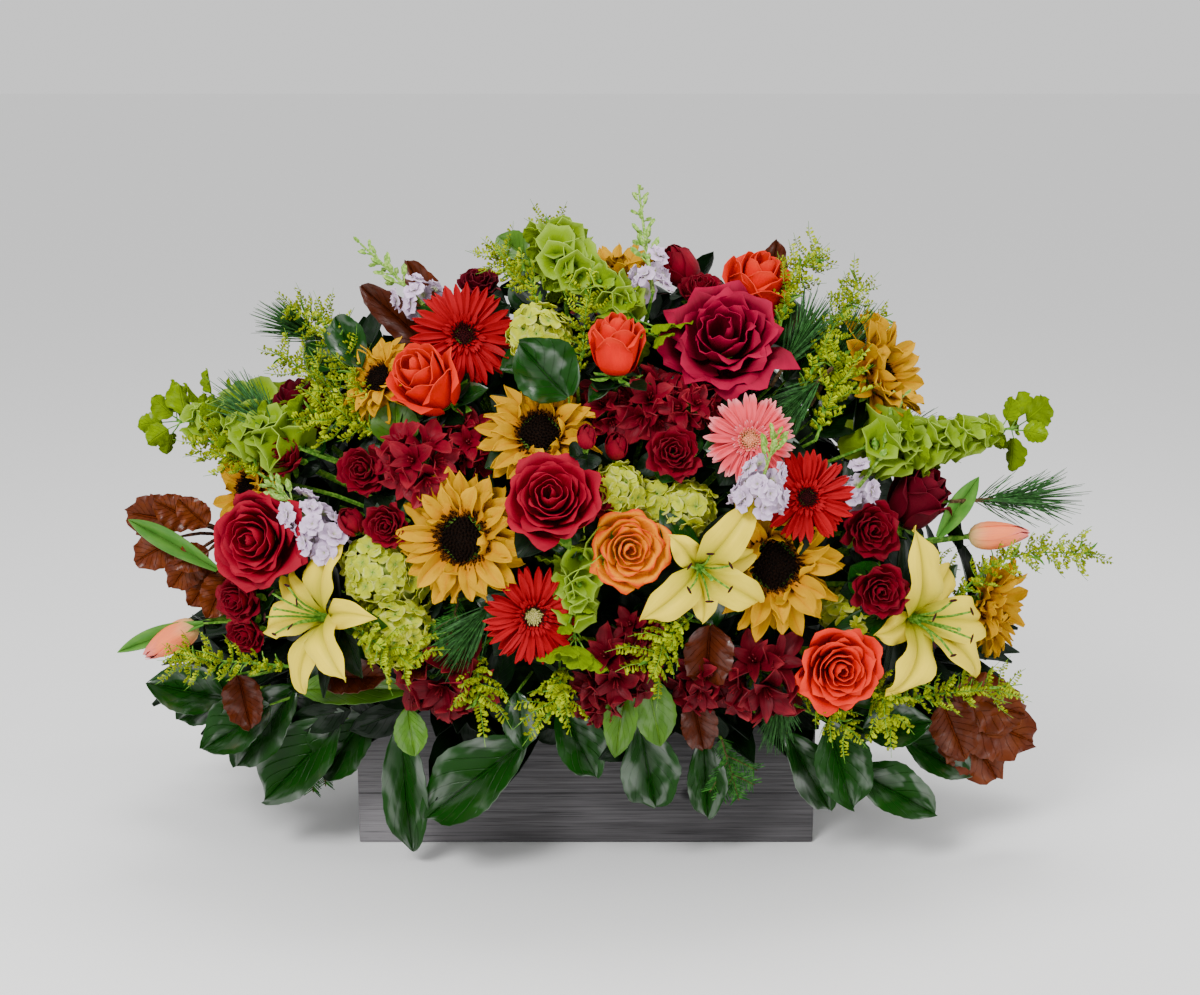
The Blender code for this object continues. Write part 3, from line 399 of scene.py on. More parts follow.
class Finish:
    """A Principled material while it is put together."""

    def __init__(self, name, **fixed):
        self.material = bpy.data.materials.new(name)
        self.material.use_nodes = True
        self.tree = self.material.node_tree
        self.shader = self.tree.nodes["Principled BSDF"].inputs
        for key, value in fixed.items():
            self.feed(self.shader[key.replace("_", " ").title().replace("Ior", "IOR")], value)

    def add(self, kind, settings=None, inputs=None):
        node = self.tree.nodes.new(kind)
        for key, value in (settings or {}).items():
            setattr(node, key, value)
        for key, value in (inputs or {}).items():
            self.feed(node.inputs[key], value)
        return node.outputs

    def number(self, *node):
        return Num(self, self.add(*node)[0])

    def feed(self, socket, value):
        value = value.socket if isinstance(value, Num) else value
        if isinstance(value, bpy.types.NodeSocket):
            self.tree.links.new(value, socket)
        elif socket.type == "RGBA" and len(value) == 3:
            socket.default_value = (*value, 1)
        else:
            socket.default_value = value

    def parts(self, vector):
        """The three numbers of a vector."""
        return [Num(self, part) for part in self.add("ShaderNodeSeparateXYZ", None, {0: vector})]

    def growth(self):
        """How far along, how far across and the chance number of the petal or leaf."""
        return self.parts(self.add("ShaderNodeAttribute", {"attribute_name": "growth"})["Vector"])

    def place(self):
        return self.add("ShaderNodeTexCoord")["Object"]

    def vector(self, *parts):
        return self.add("ShaderNodeCombineXYZ", None, dict(enumerate(parts)))[0]

    def stretched(self, vector, *shares):
        return self.add("ShaderNodeVectorMath", {"operation": "MULTIPLY"}, {0: vector, 1: shares})[0]

    def noise(self, vector, scale, detail=2.0):
        return self.number("ShaderNodeTexNoise", None, {"Vector": vector, "Scale": scale, "Detail": detail})

    def mix(self, share, first, second):
        return self.add("ShaderNodeMix", {"data_type": "RGBA"}, {0: share, 6: first, 7: second})[2]

    def done(self, colour, height, depth):
        """Sets the colour, and bumps of a height from 0 to 1 and a depth in millimetres."""
        self.feed(self.shader["Base Color"], colour)
        bump = {"Height": height, "Distance": depth * MM, "Strength": 1.0}
        self.feed(self.shader["Normal"], self.add("ShaderNodeBump", None, bump)[0])
        return self.material


def toned(colour, tone):
    """A tone of the colour: a share of it, a linear colour, or a display colour from 0 to 255."""
    if isinstance(tone, (int, float)):
        return tuple(min(1.0, part * tone) for part in colour)
    return display(*tone) if max(tone) > 1 else tuple(tone)


def blended(first, second, share):
    return tuple(a + (b - a) * share for a, b in zip(first, toned(first, second)))


def petal_finish(name, heart, middle, rim, deep=0.55, roughness=0.55, streaks=26, gloss=0.12, rim_from=0.72,
                 uneven=0.0, rib=0.0):
    """Petals that run from the heart's tone to the rim's, darker here and there, with fine veins."""
    heart, rim = toned(middle, heart), toned(middle, rim)
    finish = Finish(name, roughness=roughness, specular_ior_level=gloss)
    along, across, chance = finish.growth()
    veins = finish.noise(finish.vector(across * streaks, along * 2.5, chance * 40), 1.0)
    patch = finish.noise(finish.vector(across * 1.5, along * 2, chance * 60), 1.0)
    colour = finish.mix(along.step(0.0, 0.55), heart, middle)
    colour = finish.mix(along.step(rim_from, 1.0), colour, rim)
    colour = finish.mix((chance * 7.3).wave() * uneven, colour, toned(middle, 0.5))
    colour = finish.mix(patch.step(0.35, 0.75) * deep, colour, toned(middle, 0.55))
    colour = finish.mix(veins.step(0.45, 0.75) * 0.3, colour, toned(rim, 0.75))
    colour = finish.mix((1 - abs(across).step(0.0, 0.3)) * rib, colour, heart)
    return finish.done(colour, veins, 0.35)


def leaf_finish(name, blade, vein, under, ribs=8, slant=2.6, roughness=0.3, gloss=0.2, depth=0.8, marked=0.4,
                wax=0.1):
    """A leaf with a midrib and slanting side veins, and a blade that varies a little."""
    blade = toned(blade, blade)
    vein, under = toned(blade, vein), toned(blade, under)
    finish = Finish(name, roughness=roughness, specular_ior_level=gloss, coat_roughness=0.3, coat_ior=2.0)
    along, across, chance = finish.growth()
    side = abs(across)
    rib = 1 - side.step(0.0, 0.09)
    lines = (along * ribs - side * slant + chance * 7).wave()
    veins = (1 - lines.step(0.0, 0.16)) * (1 - side.step(0.75, 1.0))
    marks = (rib + veins * 0.5).step(0.0, 1.0)
    patch = finish.noise(finish.vector(across, along * 3, chance * 50), 1.6, 3.0)
    colour = finish.mix(patch.step(0.3, 0.8) * 0.8, blade, under)
    colour = finish.mix((chance * 7.3).wave() * 0.5, colour, toned(blade, 0.5))
    colour = finish.mix(marks * marked, colour, vein)
    wet = finish.noise(finish.vector(across * 1.4, along * 2.2, chance * 90), 1.3)
    finish.feed(finish.shader["Coat Weight"], wet.step(0.45, 0.6) * (1 - marks * 0.7) * wax)
    return finish.done(colour, 1 - marks + patch * 0.3, depth)


def speckled_finish(name, dark, light, grain, roughness):
    """Small plain parts such as seeds, pollen and buds."""
    finish = Finish(name, roughness=roughness, specular_ior_level=0.08)
    spots = finish.noise(finish.place(), grain, 1.0)
    colour = finish.mix(spots.step(0.4, 0.65), toned(dark, dark), toned(light, light))
    finish.feed(finish.shader["Base Color"], colour)
    return finish.material


# ---------------------------------------------------------------- places and poses

AWAY = Vector((0, 1, 0))


def up(height):
    return Vector((0, 0, height))


def around(angle, reach=1.0, height=0.0):
    return Vector((reach * cos(angle), reach * sin(angle), height))


def spread(i, count, fall):
    """One of count directions spread over a ball, from its top down by fall half heights."""
    level = 1 - fall * (i + 0.5) / count
    return around(i * GOLDEN, sqrt(1 - level ** 2), level)


def raised(height):
    return Matrix.Translation((0, 0, height))


def sized(wide, tall):
    return Matrix.Diagonal((wide, wide, tall, 1))


def turned(angle):
    return Matrix.Rotation(angle, 4, "Z")


def tipped(angle):
    return Matrix.Rotation(angle, 4, "X")


def framed(place, x, y, z):
    return Matrix.Translation(place) @ Matrix((x, y, z)).transposed().to_4x4()


def beside(way, hint):
    """The direction across way that lies nearest to hint."""
    side = hint - way * hint.dot(way)
    return side.normalized() if side.length > 1e-5 else way.orthogonal().normalized()


def facing(place, out, spin=0.0, hint=up(1)):
    """A pose whose +Z looks along out and whose +Y lies near hint, then turned by spin."""
    z = out.normalized()
    y = beside(z, hint)
    return framed(place, y.cross(z), y, z) @ turned(spin)


def reaching(foot, tip, face):
    """A pose whose +X runs from foot to tip and whose +Z lies near face."""
    x = (tip - foot).normalized()
    z = beside(x, face)
    return framed(foot, x, z.cross(x), z)


def pose_of(place, turn, lift):
    """The pose of a flower that looks turn degrees round from the front and lift degrees up."""
    return Matrix.Translation(place) @ turned(radians(turn)) @ tipped(radians(90 - lift))


def smooth_path(path, count):
    """count points evenly along a smooth curve through the path's points."""
    points = [2 * path[0] - path[1], *path, 2 * path[-1] - path[-2]]
    steps = []
    for i in range(count):
        t = i / (count - 1) * (len(points) - 3)
        k = min(int(t), len(points) - 4)
        t -= k
        a, b, c, d = points[k:k + 4]
        steps.append(0.5 * (2 * b + (c - a) * t + (2 * a - 5 * b + 4 * c - d) * t ** 2
                            + (3 * b - a - 3 * c + d) * t ** 3))
    return steps


# ---------------------------------------------------------------- shapes

class Shape:
    """Points in millimetres, their faces as (quads, triangles), and how each point grew.

    growth gives (along, across, chance) for a point: how far out on its petal it lies, how far to
    the side, and one number drawn for the petal. finish is the place of the material in the
    piece's list. A thin shape is a sheet, which gets its thickness when the piece is made.
    """

    def __init__(self, points, faces, growth=None, finish=0, thin=False):
        self.points, self.faces, self.finish, self.thin = points, faces, finish, thin
        self.growth = np.zeros((len(points), 3)) if growth is None else growth

    def at(self, pose):
        """A copy at another pose, scaled as the pose is."""
        points = self.points @ np.array(pose.to_3x3()).T + np.array(pose.translation)
        return Shape(points, self.faces, self.growth, self.finish, self.thin)

    def painted(self, finish, along=0.0, chance=0.0):
        """The same shape in another material of the piece."""
        growth = np.tile((along, 0.0, chance), (len(self.points), 1))
        return Shape(self.points, self.faces, growth, finish, self.thin)


def moved(shapes, pose):
    return [shape.at(pose) for shape in shapes]


PATTERNS = {}  # simple shapes that are made once and copied


def added(operator, **settings):
    """What one of Blender's add operators makes, as a Shape."""
    bpy.ops.object.select_all(action="DESELECT")
    operator(**settings)
    obj = bpy.context.object
    mesh = obj.data
    points = np.array([vertex.co for vertex in mesh.vertices])
    corners = [list(face.vertices) for face in mesh.polygons]
    faces = [np.array([face for face in corners if len(face) == n], int).reshape(-1, n) for n in (4, 3)]
    bpy.data.objects.remove(obj)
    bpy.data.meshes.remove(mesh)
    return Shape(points, faces)


def pattern(name, operator, **settings):
    if name not in PATTERNS:
        PATTERNS[name] = added(operator, **settings)
    return PATTERNS[name]


def seed_shape():
    """A small rounded grain, 1 across and 2 tall, standing on the origin."""
    ball = pattern("seed", bpy.ops.mesh.primitive_uv_sphere_add, segments=4, ring_count=3, radius=0.5)
    points = ball.points.copy()
    points[:, 2] = (points[:, 2] + 0.5) * 2
    return Shape(points, ball.faces)


def bud_shape(tail=0.0):
    """A small plump grain, 2 across and 2 tall, whose lower end is drawn out thin by tail."""
    bud = pattern("bud", bpy.ops.mesh.primitive_uv_sphere_add, segments=3, ring_count=3, radius=1)
    points = bud.points.copy()
    if tail:
        points[points[:, 2] < -0.1, :2] *= 0.55
        points[points[:, 2] < -0.9, 2] -= tail
    return Shape(points, bud.faces)


def ball_shape():
    return pattern("ball", bpy.ops.mesh.primitive_ico_sphere_add, subdivisions=1, radius=1)


def sheet(columns, rows, place, chance):
    """A petal or a leaf: a grid whose points go where place(across, along) says."""
    flat = pattern((columns, rows), bpy.ops.mesh.primitive_grid_add, x_subdivisions=columns,
                   y_subdivisions=rows, size=2)
    across, along = flat.points[:, 0], (flat.points[:, 1] + 1) / 2
    growth = np.stack([along, across, np.full_like(along, chance)], 1)
    return Shape(place(across, along), flat.faces, growth, thin=True)


def outline(*halves):
    """A smooth half width along a petal, through values that are evenly spread over its length."""
    knots = np.linspace(0, 1, len(halves))
    curve = np.polynomial.Polynomial.fit(knots, halves, len(halves) - 1)
    return lambda along: np.maximum(curve(along), 0.02)


POINTED = outline(0.5, 0.86, 1.0, 0.8, 0.04)
LANCE = outline(0.25, 0.8, 1.0, 0.72, 0.03)
ROUNDED = outline(0.3, 0.62, 0.9, 1.0, 0.55)
STRAP = outline(0.45, 0.72, 0.95, 0.98, 0.12)
OVAL = outline(0.12, 0.82, 1.0, 0.74, 0.03)
BROAD = outline(0.1, 0.95, 1.0, 0.8, 0.1)
TAPERED = outline(0.25, 0.6, 0.95, 0.9, 0.1)
FLORET = outline(0.22, 0.62, 0.95, 1.02, 0.55)


def petal(length, width, shape, rise, start=0.0, cup=0.0, crease=0.0, ruffle=0.0, waves=3.0,
          phase=0.0, teeth=0.0, twist=0.0, sway=0.0, grain=(4, 8), chance=0.0, finish=0):
    """A petal or leaf along +X that bends from rise[0] to rise[1] degrees above the flat.

    cup lifts its sides, crease sinks its middle, ruffle waves its rim, teeth notches it, twist
    turns its tip about its length, in radians, and sway carries the tip to the side.
    """
    first = radians(rise[0])
    bend = radians(rise[1]) - first or 1e-6

    def place(across, along):
        angle = first + bend * along
        x = start + length * (np.sin(angle) - sin(first)) / bend
        z = length * (cos(first) - np.cos(angle)) / bend
        half = width / 2 * shape(along)
        side = np.abs(across)
        notch = 1 + teeth * (side > 0.99) * (np.round(along * grain[1]) % 2)
        off = half * (cup * across ** 2 - crease * (1 - side) ** 2)
        off = off + ruffle * width * side ** 2 * np.sin(waves * 2 * pi * along + phase + across * 1.6)
        wide = -half * across * notch
        turn = twist * along
        wide, off = wide * np.cos(turn) - off * np.sin(turn), wide * np.sin(turn) + off * np.cos(turn)
        return np.stack([x - off * np.sin(angle), wide + sway * along ** 2, z + off * np.cos(angle)], 1)

    made = sheet(*grain, place, chance)
    made.finish = finish
    return made


def wrapped(turn, span, curve, shape, droop, spiral=0.08, curl=0.0, ruffle=0.0, phase=0.0,
            grain=(8, 8), chance=0.0):
    """A cupped petal round +Z. curve holds four (radius, height) places from its root to its rim,
    span is half the turn it covers, in radians, and curl rolls its rim outwards."""
    def place(across, along):
        t = along * (1 - droop * across ** 2)
        shares = ((1 - t) ** 3, 3 * (1 - t) ** 2 * t, 3 * (1 - t) * t ** 2, t ** 3)
        radius = sum(share * reach for share, (reach, _) in zip(shares, curve))
        height = sum(share * level for share, (_, level) in zip(shares, curve))
        radius = radius * (1 + spiral * across) + curl * along ** 4 * (0.35 + np.abs(across) ** 2)
        radius = radius + ruffle * along ** 3 * np.sin(5 * across + phase)
        height = height - 0.7 * curl * along ** 6 + ruffle * 0.6 * along ** 4 * np.sin(7 * across + phase * 2)
        angle = turn + span * shape(along) * across
        return np.stack([radius * np.cos(angle), radius * np.sin(angle), height], 1)

    return sheet(*grain, place, chance)


def stalk(path, radii, sides, finish, along=0.0):
    """A round stem through the path's points, with a radius at each."""
    points = []
    side = Vector((0.3, 0.2, 0.9))
    last = len(path) - 1
    for i, point in enumerate(path):
        way = (path[min(i + 1, last)] - path[max(i - 1, 0)]).normalized()
        side = side - way * side.dot(way)
        side = side.normalized() if side.length > 1e-6 else way.orthogonal().normalized()
        other = way.cross(side)
        for j in range(sides):
            angle = tau * j / sides
            points.append(point + radii[i] * (side * cos(angle) + other * sin(angle)))
    quads = [(i * sides + j, i * sides + (j + 1) % sides, (i + 1) * sides + (j + 1) % sides,
              (i + 1) * sides + j) for i in range(last) for j in range(sides)]
    low, high, top = len(points), len(points) + 1, last * sides
    triangles = [(low, (j + 1) % sides, j) for j in range(sides)]
    triangles += [(high, top + j, top + (j + 1) % sides) for j in range(sides)]
    points = np.array([tuple(point) for point in (*points, path[0], path[-1])])
    return Shape(points, (np.array(quads, int), np.array(triangles, int))).painted(finish, along)


# ---------------------------------------------------------------- pieces

def object_of(name, shapes, materials):
    """A mesh object of the shapes, in metres, kept within the bounds of the whole loaded model."""
    points = np.concatenate([shape.points for shape in shapes]) * MM
    points = np.clip(points, np.array(BOUNDS_LOADED[0]) + MM, np.array(BOUNDS_LOADED[1]) - MM)
    starts = np.cumsum([0] + [len(shape.points) for shape in shapes])
    faces, finishes = [], []
    for shape, start in zip(shapes, starts):
        for corners in shape.faces:
            faces += (corners + start).tolist()
            finishes += [shape.finish] * len(corners)
    mesh = bpy.data.meshes.new(name)
    mesh.from_pydata(points.tolist(), [], faces)
    for material in materials:
        mesh.materials.append(material)
    mesh.polygons.foreach_set("material_index", finishes)
    growth = np.concatenate([shape.growth for shape in shapes]).astype(np.float32)
    mesh.attributes.new("growth", "FLOAT_VECTOR", "POINT").data.foreach_set("vector", growth.ravel())
    obj = bpy.data.objects.new(name, mesh)
    bpy.context.scene.collection.objects.link(obj)
    return obj


def chosen(*objects):
    """Selects just these objects, the last of them active."""
    bpy.ops.object.select_all(action="DESELECT")
    for obj in objects:
        obj.select_set(True)
    bpy.context.view_layer.objects.active = objects[-1]


def thickened(obj, thickness):
    """Joins the points that coincide and gives the sheets of a new object their thickness."""
    chosen(obj)
    bpy.ops.object.mode_set(mode="EDIT")
    bpy.ops.mesh.select_all(action="SELECT")
    bpy.ops.mesh.remove_doubles(threshold=1e-6)
    bpy.ops.object.mode_set(mode="OBJECT")
    wall = obj.modifiers.new("thickness", "SOLIDIFY")
    wall.thickness = thickness
    wall.offset = 0
    bpy.ops.object.modifier_apply(modifier=wall.name)


def piece(name, shapes, materials, node="greenery", slot="greenery"):
    """One finished object from the shapes. It rides on the box and stands for the CAD node."""
    sizes = bpy.context.scene.centerpiece_sizes
    made = []
    for thin in (True, False):
        group = [shape for shape in shapes if shape.thin == thin]
        if group:
            made.append(object_of(name, group, materials))
            if thin:
                thickened(made[0], sizes.leaf if slot in ("greenery", "beech_leaf") else sizes.petal)
    chosen(*made)
    if len(made) > 1:
        bpy.ops.object.join()
    obj = bpy.context.object
    obj.name = name
    bpy.ops.object.shade_smooth_by_angle(angle=radians(55))
    if not obj.data.polygons:
        raise RuntimeError(f"{name} came out empty")
    settle(obj, node, slot)


def settle(obj, node, slot):
    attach(obj, "root")
    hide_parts(node)


# ---------------------------------------------------------------- flowers, looking along +Z

def disc(chance, radius, dome, count, size, tall):
    """A domed heart set with grains in the spirals of a seed head, taller towards its rim. The
    heart is of finish 1 and the grains near its rim of finish 2."""
    bed = seed_shape().at(raised(-0.5 * dome) @ sized(2.05 * radius, 0.72 * dome))
    shapes = [bed.painted(1, 0.0)]
    for i in range(count):
        share = (i + 0.5) / count
        foot = around(i * GOLDEN, radius * sqrt(share), dome * (1 - share) - 0.3 * tall)
        out = Vector((foot.x, foot.y, radius * 1.6))
        grow = size * (0.7 + 0.5 * share)
        pose = facing(foot, out) @ sized(grow, tall * (0.45 + 0.75 * share) * chance.uniform(0.8, 1.2))
        shapes.append(seed_shape().at(pose).painted(2 if share > 0.5 else 1, share, chance.random()))
    return shapes


def calyx(chance, radius, depth, sepals, length, finish, rise):
    """Green sepals round a short cup under a flower. The cup's foot is depth below the flower."""
    path = [up(-depth), up(-depth * 0.6), up(-depth * 0.15)]
    shapes = [stalk(path, [radius * 0.35, radius * 0.8, radius], 10, finish, 0.3)]
    for i in range(sepals):
        leaf = petal(length, length * 0.4, LANCE, (rise[0], rise[1] + chance.uniform(-20, 20)),
                     start=radius * 0.7, crease=0.3, grain=(2, 5), chance=chance.random(), finish=finish)
        shapes.append(leaf.at(raised(-depth * 0.45) @ turned(tau * (i + chance.uniform(-0.2, 0.2)) / sepals)))
    return shapes


def sunflower(kind, across, chance, closing):
    """Three rows of pointed, folded petals round a dark domed disc. Some of the front row curl in
    over it, and closing lifts them all, in degrees. Finishes: petal, disc, rim, green."""
    d, vary = across, chance.uniform
    shapes = disc(chance, 0.205 * d, 0.045 * d, 210, 0.026 * d, 0.032 * d)
    for row, (count, length, rise) in enumerate((
            (19, 0.31, (56, 2)), (19, 0.345, (28, -12)), (13, 0.32, (4, -34)))):
        for i in range(count):
            curled = row == 0 and chance.random() < 0.3
            tip = vary(75, 125) if curled else rise[1] + vary(-26, 26)
            leaf = petal(
                (0.2 if curled else length) * d * vary(0.84, 1.08), 0.138 * d * vary(0.8, 1.15), POINTED,
                (rise[0] + closing + vary(-12, 12), tip + closing), start=0.17 * d, cup=0.3, crease=0.3,
                ruffle=vary(0.05, 0.19), waves=vary(0.8, 2.3), phase=vary(0, 6), twist=vary(-1.1, 1.1),
                sway=vary(-0.06, 0.06) * d, grain=(4, 8), chance=chance.random())
            angle = tau * (i + 0.5 * row + vary(-0.25, 0.25)) / count
            shapes.append(leaf.at(raised(-0.02 * d * row) @ turned(angle) @ tipped(vary(-0.25, 0.25))))
    return shapes + calyx(chance, 0.17 * d, 0.12 * d, 14, 0.2 * d, 3, (0, -25))


def gerbera(kind, across, chance):
    """Long narrow petals in two rows, a frill of short ones and a small disc. Finishes: petal,
    disc, rim, green."""
    d, vary = across, chance.uniform
    shapes = disc(chance, 0.1 * d, 0.03 * d, 90, 0.02 * d, 0.035 * d)
    for row, (count, length, rise, width) in enumerate((
            (26, 0.41, (16, 2), 0.075), (28, 0.4, (4, -8), 0.075), (26, 0.14, (50, 15), 0.03),
            (22, 0.08, (70, 35), 0.025))):
        long = row < 2
        for i in range(count):
            leaf = petal(
                length * d * vary(0.92, 1.04), width * d * vary(0.85, 1.15), STRAP,
                (rise[0] + vary(-7, 7), rise[1] + vary(-20, 16)), start=0.085 * d, cup=0.5 * long,
                crease=0.35, twist=vary(-0.5, 0.5), sway=vary(-0.03, 0.03) * d,
                grain=(4, 6) if long else (2, 4), chance=chance.random())
            angle = tau * (i + 0.5 * row + vary(-0.3, 0.3)) / count
            shapes.append(leaf.at(raised(-0.012 * d * (row == 1)) @ turned(angle) @ tipped(vary(-0.2, 0.2))))
    return shapes + calyx(chance, 0.11 * d, 0.12 * d, 12, 0.12 * d, 3, (10, 20))


# Each rose: inner and outer curves as (radius, height) in half widths, petals, half turns that the
# inner and outer ones cover in radians, outward curl, and ruffle
ROSES = {
    "rose": (((0.02, -0.3), (0.14, 0.1), (0.15, 0.35), (0.05, 0.5)),
             ((0.2, -0.7), (0.85, -0.62), (0.88, 0.12), (1.0, 0.2)), 22, (1.8, 0.82), 0.2, 0.035),
    "wide_rose": (((0.03, -0.3), (0.2, 0.0), (0.22, 0.3), (0.12, 0.48)),
                  ((0.2, -0.7), (0.8, -0.7), (0.82, 0.1), (1.02, 0.14)), 20, (1.5, 0.86), 0.24, 0.075),
    "tall_rose": (((0.05, -0.6), (0.26, 0.2), (0.34, 0.75), (0.12, 1.14)),
                  ((0.25, -1.1), (1.1, -1.05), (0.7, 0.2), (1.0, 0.66)), 17, (1.8, 0.92), 0.26, 0.03),
    "spray_rose": (((0.02, -0.3), (0.12, 0.2), (0.16, 0.4), (0.06, 0.62)),
                   ((0.2, -0.75), (0.9, -0.62), (0.92, 0.1), (1.0, 0.26)), 19, (1.6, 0.78), 0.16, 0.06),
    "bud": (((0.05, -0.8), (0.4, 0.2), (0.42, 0.8), (0.1, 1.3)),
            ((0.3, -1.2), (1.05, -0.9), (1.0, 0.4), (0.42, 1.15)), 9, (1.7, 1.1), 0.06, 0.02),
}


def rose(kind, across, chance):
    """Petals that wrap the heart in a spiral and open towards the rim. Finishes: petal, green."""
    r, vary = across / 2, chance.uniform
    inner, outer, count, (tight, wide), curl, ruffle = ROSES[kind]
    shapes = []
    for i in range(count):
        share = (i / (count - 1)) ** 0.85
        curve = [((a[0] + (b[0] - a[0]) * share) * r, (a[1] + (b[1] - a[1]) * share ** 1.15) * r)
                 for a, b in zip(inner, outer)]
        shapes.append(wrapped(
            i * GOLDEN + vary(-0.15, 0.15), (tight + (wide - tight) * share ** 0.6) * vary(0.92, 1.08),
            curve, outline(0.55, 0.9, 1.02, 0.96, 0.6), droop=0.1 + 0.14 * share, spiral=0.1 - 0.06 * share,
            curl=curl * r * share ** 1.5 * vary(0.5, 1.3), ruffle=ruffle * r * (0.4 + share),
            phase=vary(0, 6), grain=(8, 8) if across > 60 else (6, 6),
            chance=min(0.999, 0.05 + 0.9 * share)))
    radius, low = outer[0]
    rise = (60, 85) if kind == "bud" else (-20, 25)
    cup = calyx(chance, radius * r * 1.3, 0.3 * r, 5, 0.75 * r, 1, rise)
    return shapes + moved(cup, raised(low * r + 0.05 * r))


# How each lily's petals lie: the turn of each in degrees, anticlockwise from the right, and its
# length as a share of the usual
LILY_PETALS = {
    "lily_left": ((84, 1.05), (150, 1.0), (205, 0.9), (262, 1.0), (318, 1.0), (15, 0.95)),
    "lily_middle": ((56, 1.12), (8, 0.75), (-32, 1.02), (-88, 0.7), (222, 1.0), (135, 0.55)),
    "lily_right": ((98, 1.1), (42, 0.85), (-8, 1.05), (-48, 1.1), (-108, 0.95), (188, 0.5)),
    "lilies_back": ((10, 1.0), (70, 1.0), (130, 1.0), (190, 1.0), (250, 1.0), (310, 1.0)),
}


def lily(kind, across, chance, petals):
    """Six curled-back petals with a rib, six stamens and a pistil. Finishes: petal, anther, green."""
    d, vary = across, chance.uniform
    shapes = []
    for i, (angle, share) in enumerate(petals):
        outer = i % 2
        leaf = petal(
            0.7 * d * share * vary(0.97, 1.03), (0.21 if outer else 0.3) * d, LANCE,
            (72 - 8 * outer + vary(-8, 8), -58 + vary(-30, 30)), start=0.02 * d, cup=-0.3, crease=0.5,
            ruffle=0.09, waves=2.2, phase=vary(0, 6), twist=vary(-0.5, 0.5), sway=vary(-0.05, 0.05) * d,
            grain=(8, 16), chance=chance.random())
        pose = raised((-0.27 - 0.02 * outer) * d) @ turned(radians(angle))
        shapes.append(leaf.at(pose @ tipped(vary(-0.25, 0.25))))
    for i in range(7):
        pistil = i == 6
        angle = pi / 3 * i + 0.5
        out = around(angle, 0.0 if pistil else 0.17 * d)
        path = [up(-0.25 * d) + out * 0.1, up(-0.03 * d) + out * 0.45, up((0.12 + 0.05 * pistil) * d) + out]
        shapes.append(stalk(smooth_path(path, 6), [0.008 * d] * 5 + [0.006 * d], 5, 2, 0.9))
        tip = path[-1]
        if pistil:
            knob = ball_shape().at(Matrix.Translation(tip) @ Matrix.Scale(0.016 * d, 4))
            shapes.append(knob.painted(2, 0.5))
            continue
        way = Vector((-sin(angle), cos(angle), 0.3 * vary(-1, 1)))
        pose = facing(tip - way * 0.035 * d, way) @ sized(0.02 * d, 0.036 * d)
        shapes.append(seed_shape().at(pose).painted(1, 0.5, chance.random()))
    neck = [up(-0.38 * d), up(-0.27 * d), up(-0.2 * d)]
    return shapes + [stalk(neck, [0.02 * d, 0.035 * d, 0.03 * d], 8, 2, 0.3)]


def tulip(kind, across, chance):
    """A closed bud of six petals. Finishes: petal, green."""
    r = across / 2
    shapes = []
    for i in range(6):
        inner = i > 2
        curve = [(0.2 * r, -2.1 * r), (1.3 * r, -1.9 * r), (1.05 * r, 0.6 * r),
                 ((0.1 + 0.1 * inner) * r, (1.9 + chance.uniform(0, 0.16)) * r)]
        shapes.append(wrapped(tau * i / 3 + (pi / 3 if inner else 0), 1.15, curve,
                              outline(0.6, 0.95, 1.0, 0.9, 0.4), droop=0.12, chance=chance.random()))
    return shapes + [stalk([up(-2.25 * r), up(-1.95 * r)], [0.16 * r, 0.34 * r], 8, 1, 0.4)]


def small_flower(petals, length, width, shape, rise, chance, heart=None, **form):
    """Petals set evenly round +Z, with a grain of the finish heart between them if it is given."""
    vary = chance.uniform
    shapes = []
    for i in range(petals):
        leaf = petal(length * vary(0.88, 1.1), width * vary(0.9, 1.1), shape,
                     (rise[0] + vary(-8, 8), rise[1] + vary(-14, 14)), chance=chance.random(),
                     phase=vary(0, 6), **form)
        shapes.append(leaf.at(turned(tau * (i + vary(-0.1, 0.1)) / petals)))
    if heart is not None:
        shapes.append(bud_shape().at(Matrix.Scale(width * 0.14, 4)).painted(heart, 0.2, chance.random()))
    return shapes


def hydrangea(kind, across, chance):
    """A loose ball of broad four-petalled florets at uneven heights. Finishes: petal, green."""
    r, vary = across / 2, chance.uniform
    core = added(bpy.ops.mesh.primitive_ico_sphere_add, subdivisions=2, radius=0.74 * r)
    shapes = [core.painted(0, 0.1, 0.5)]
    count = int(20 + across * 0.42)
    for i in range(count):
        out = spread(i, count, 1.7)
        out = (out + Vector([vary(-0.14, 0.14) for _ in range(3)])).normalized()
        lean = (out + Vector([vary(-0.4, 0.4) for _ in range(3)])).normalized()
        size = vary(8.6, 12.2) * (0.78 + across / 380)
        floret = small_flower(4, size, size * 1.12, FLORET, (24, -12), chance, heart=1, grain=(2, 4),
                              cup=0.22, crease=0.12, ruffle=0.07, waves=1.2)
        shapes += moved(floret, facing(out * (r * vary(0.8, 0.98) - 2), lean, vary(0, 6), AWAY))
    return shapes + [stalk([up(-r), up(-0.5 * r)], [2, 2.4], 6, 1, 0.3)]


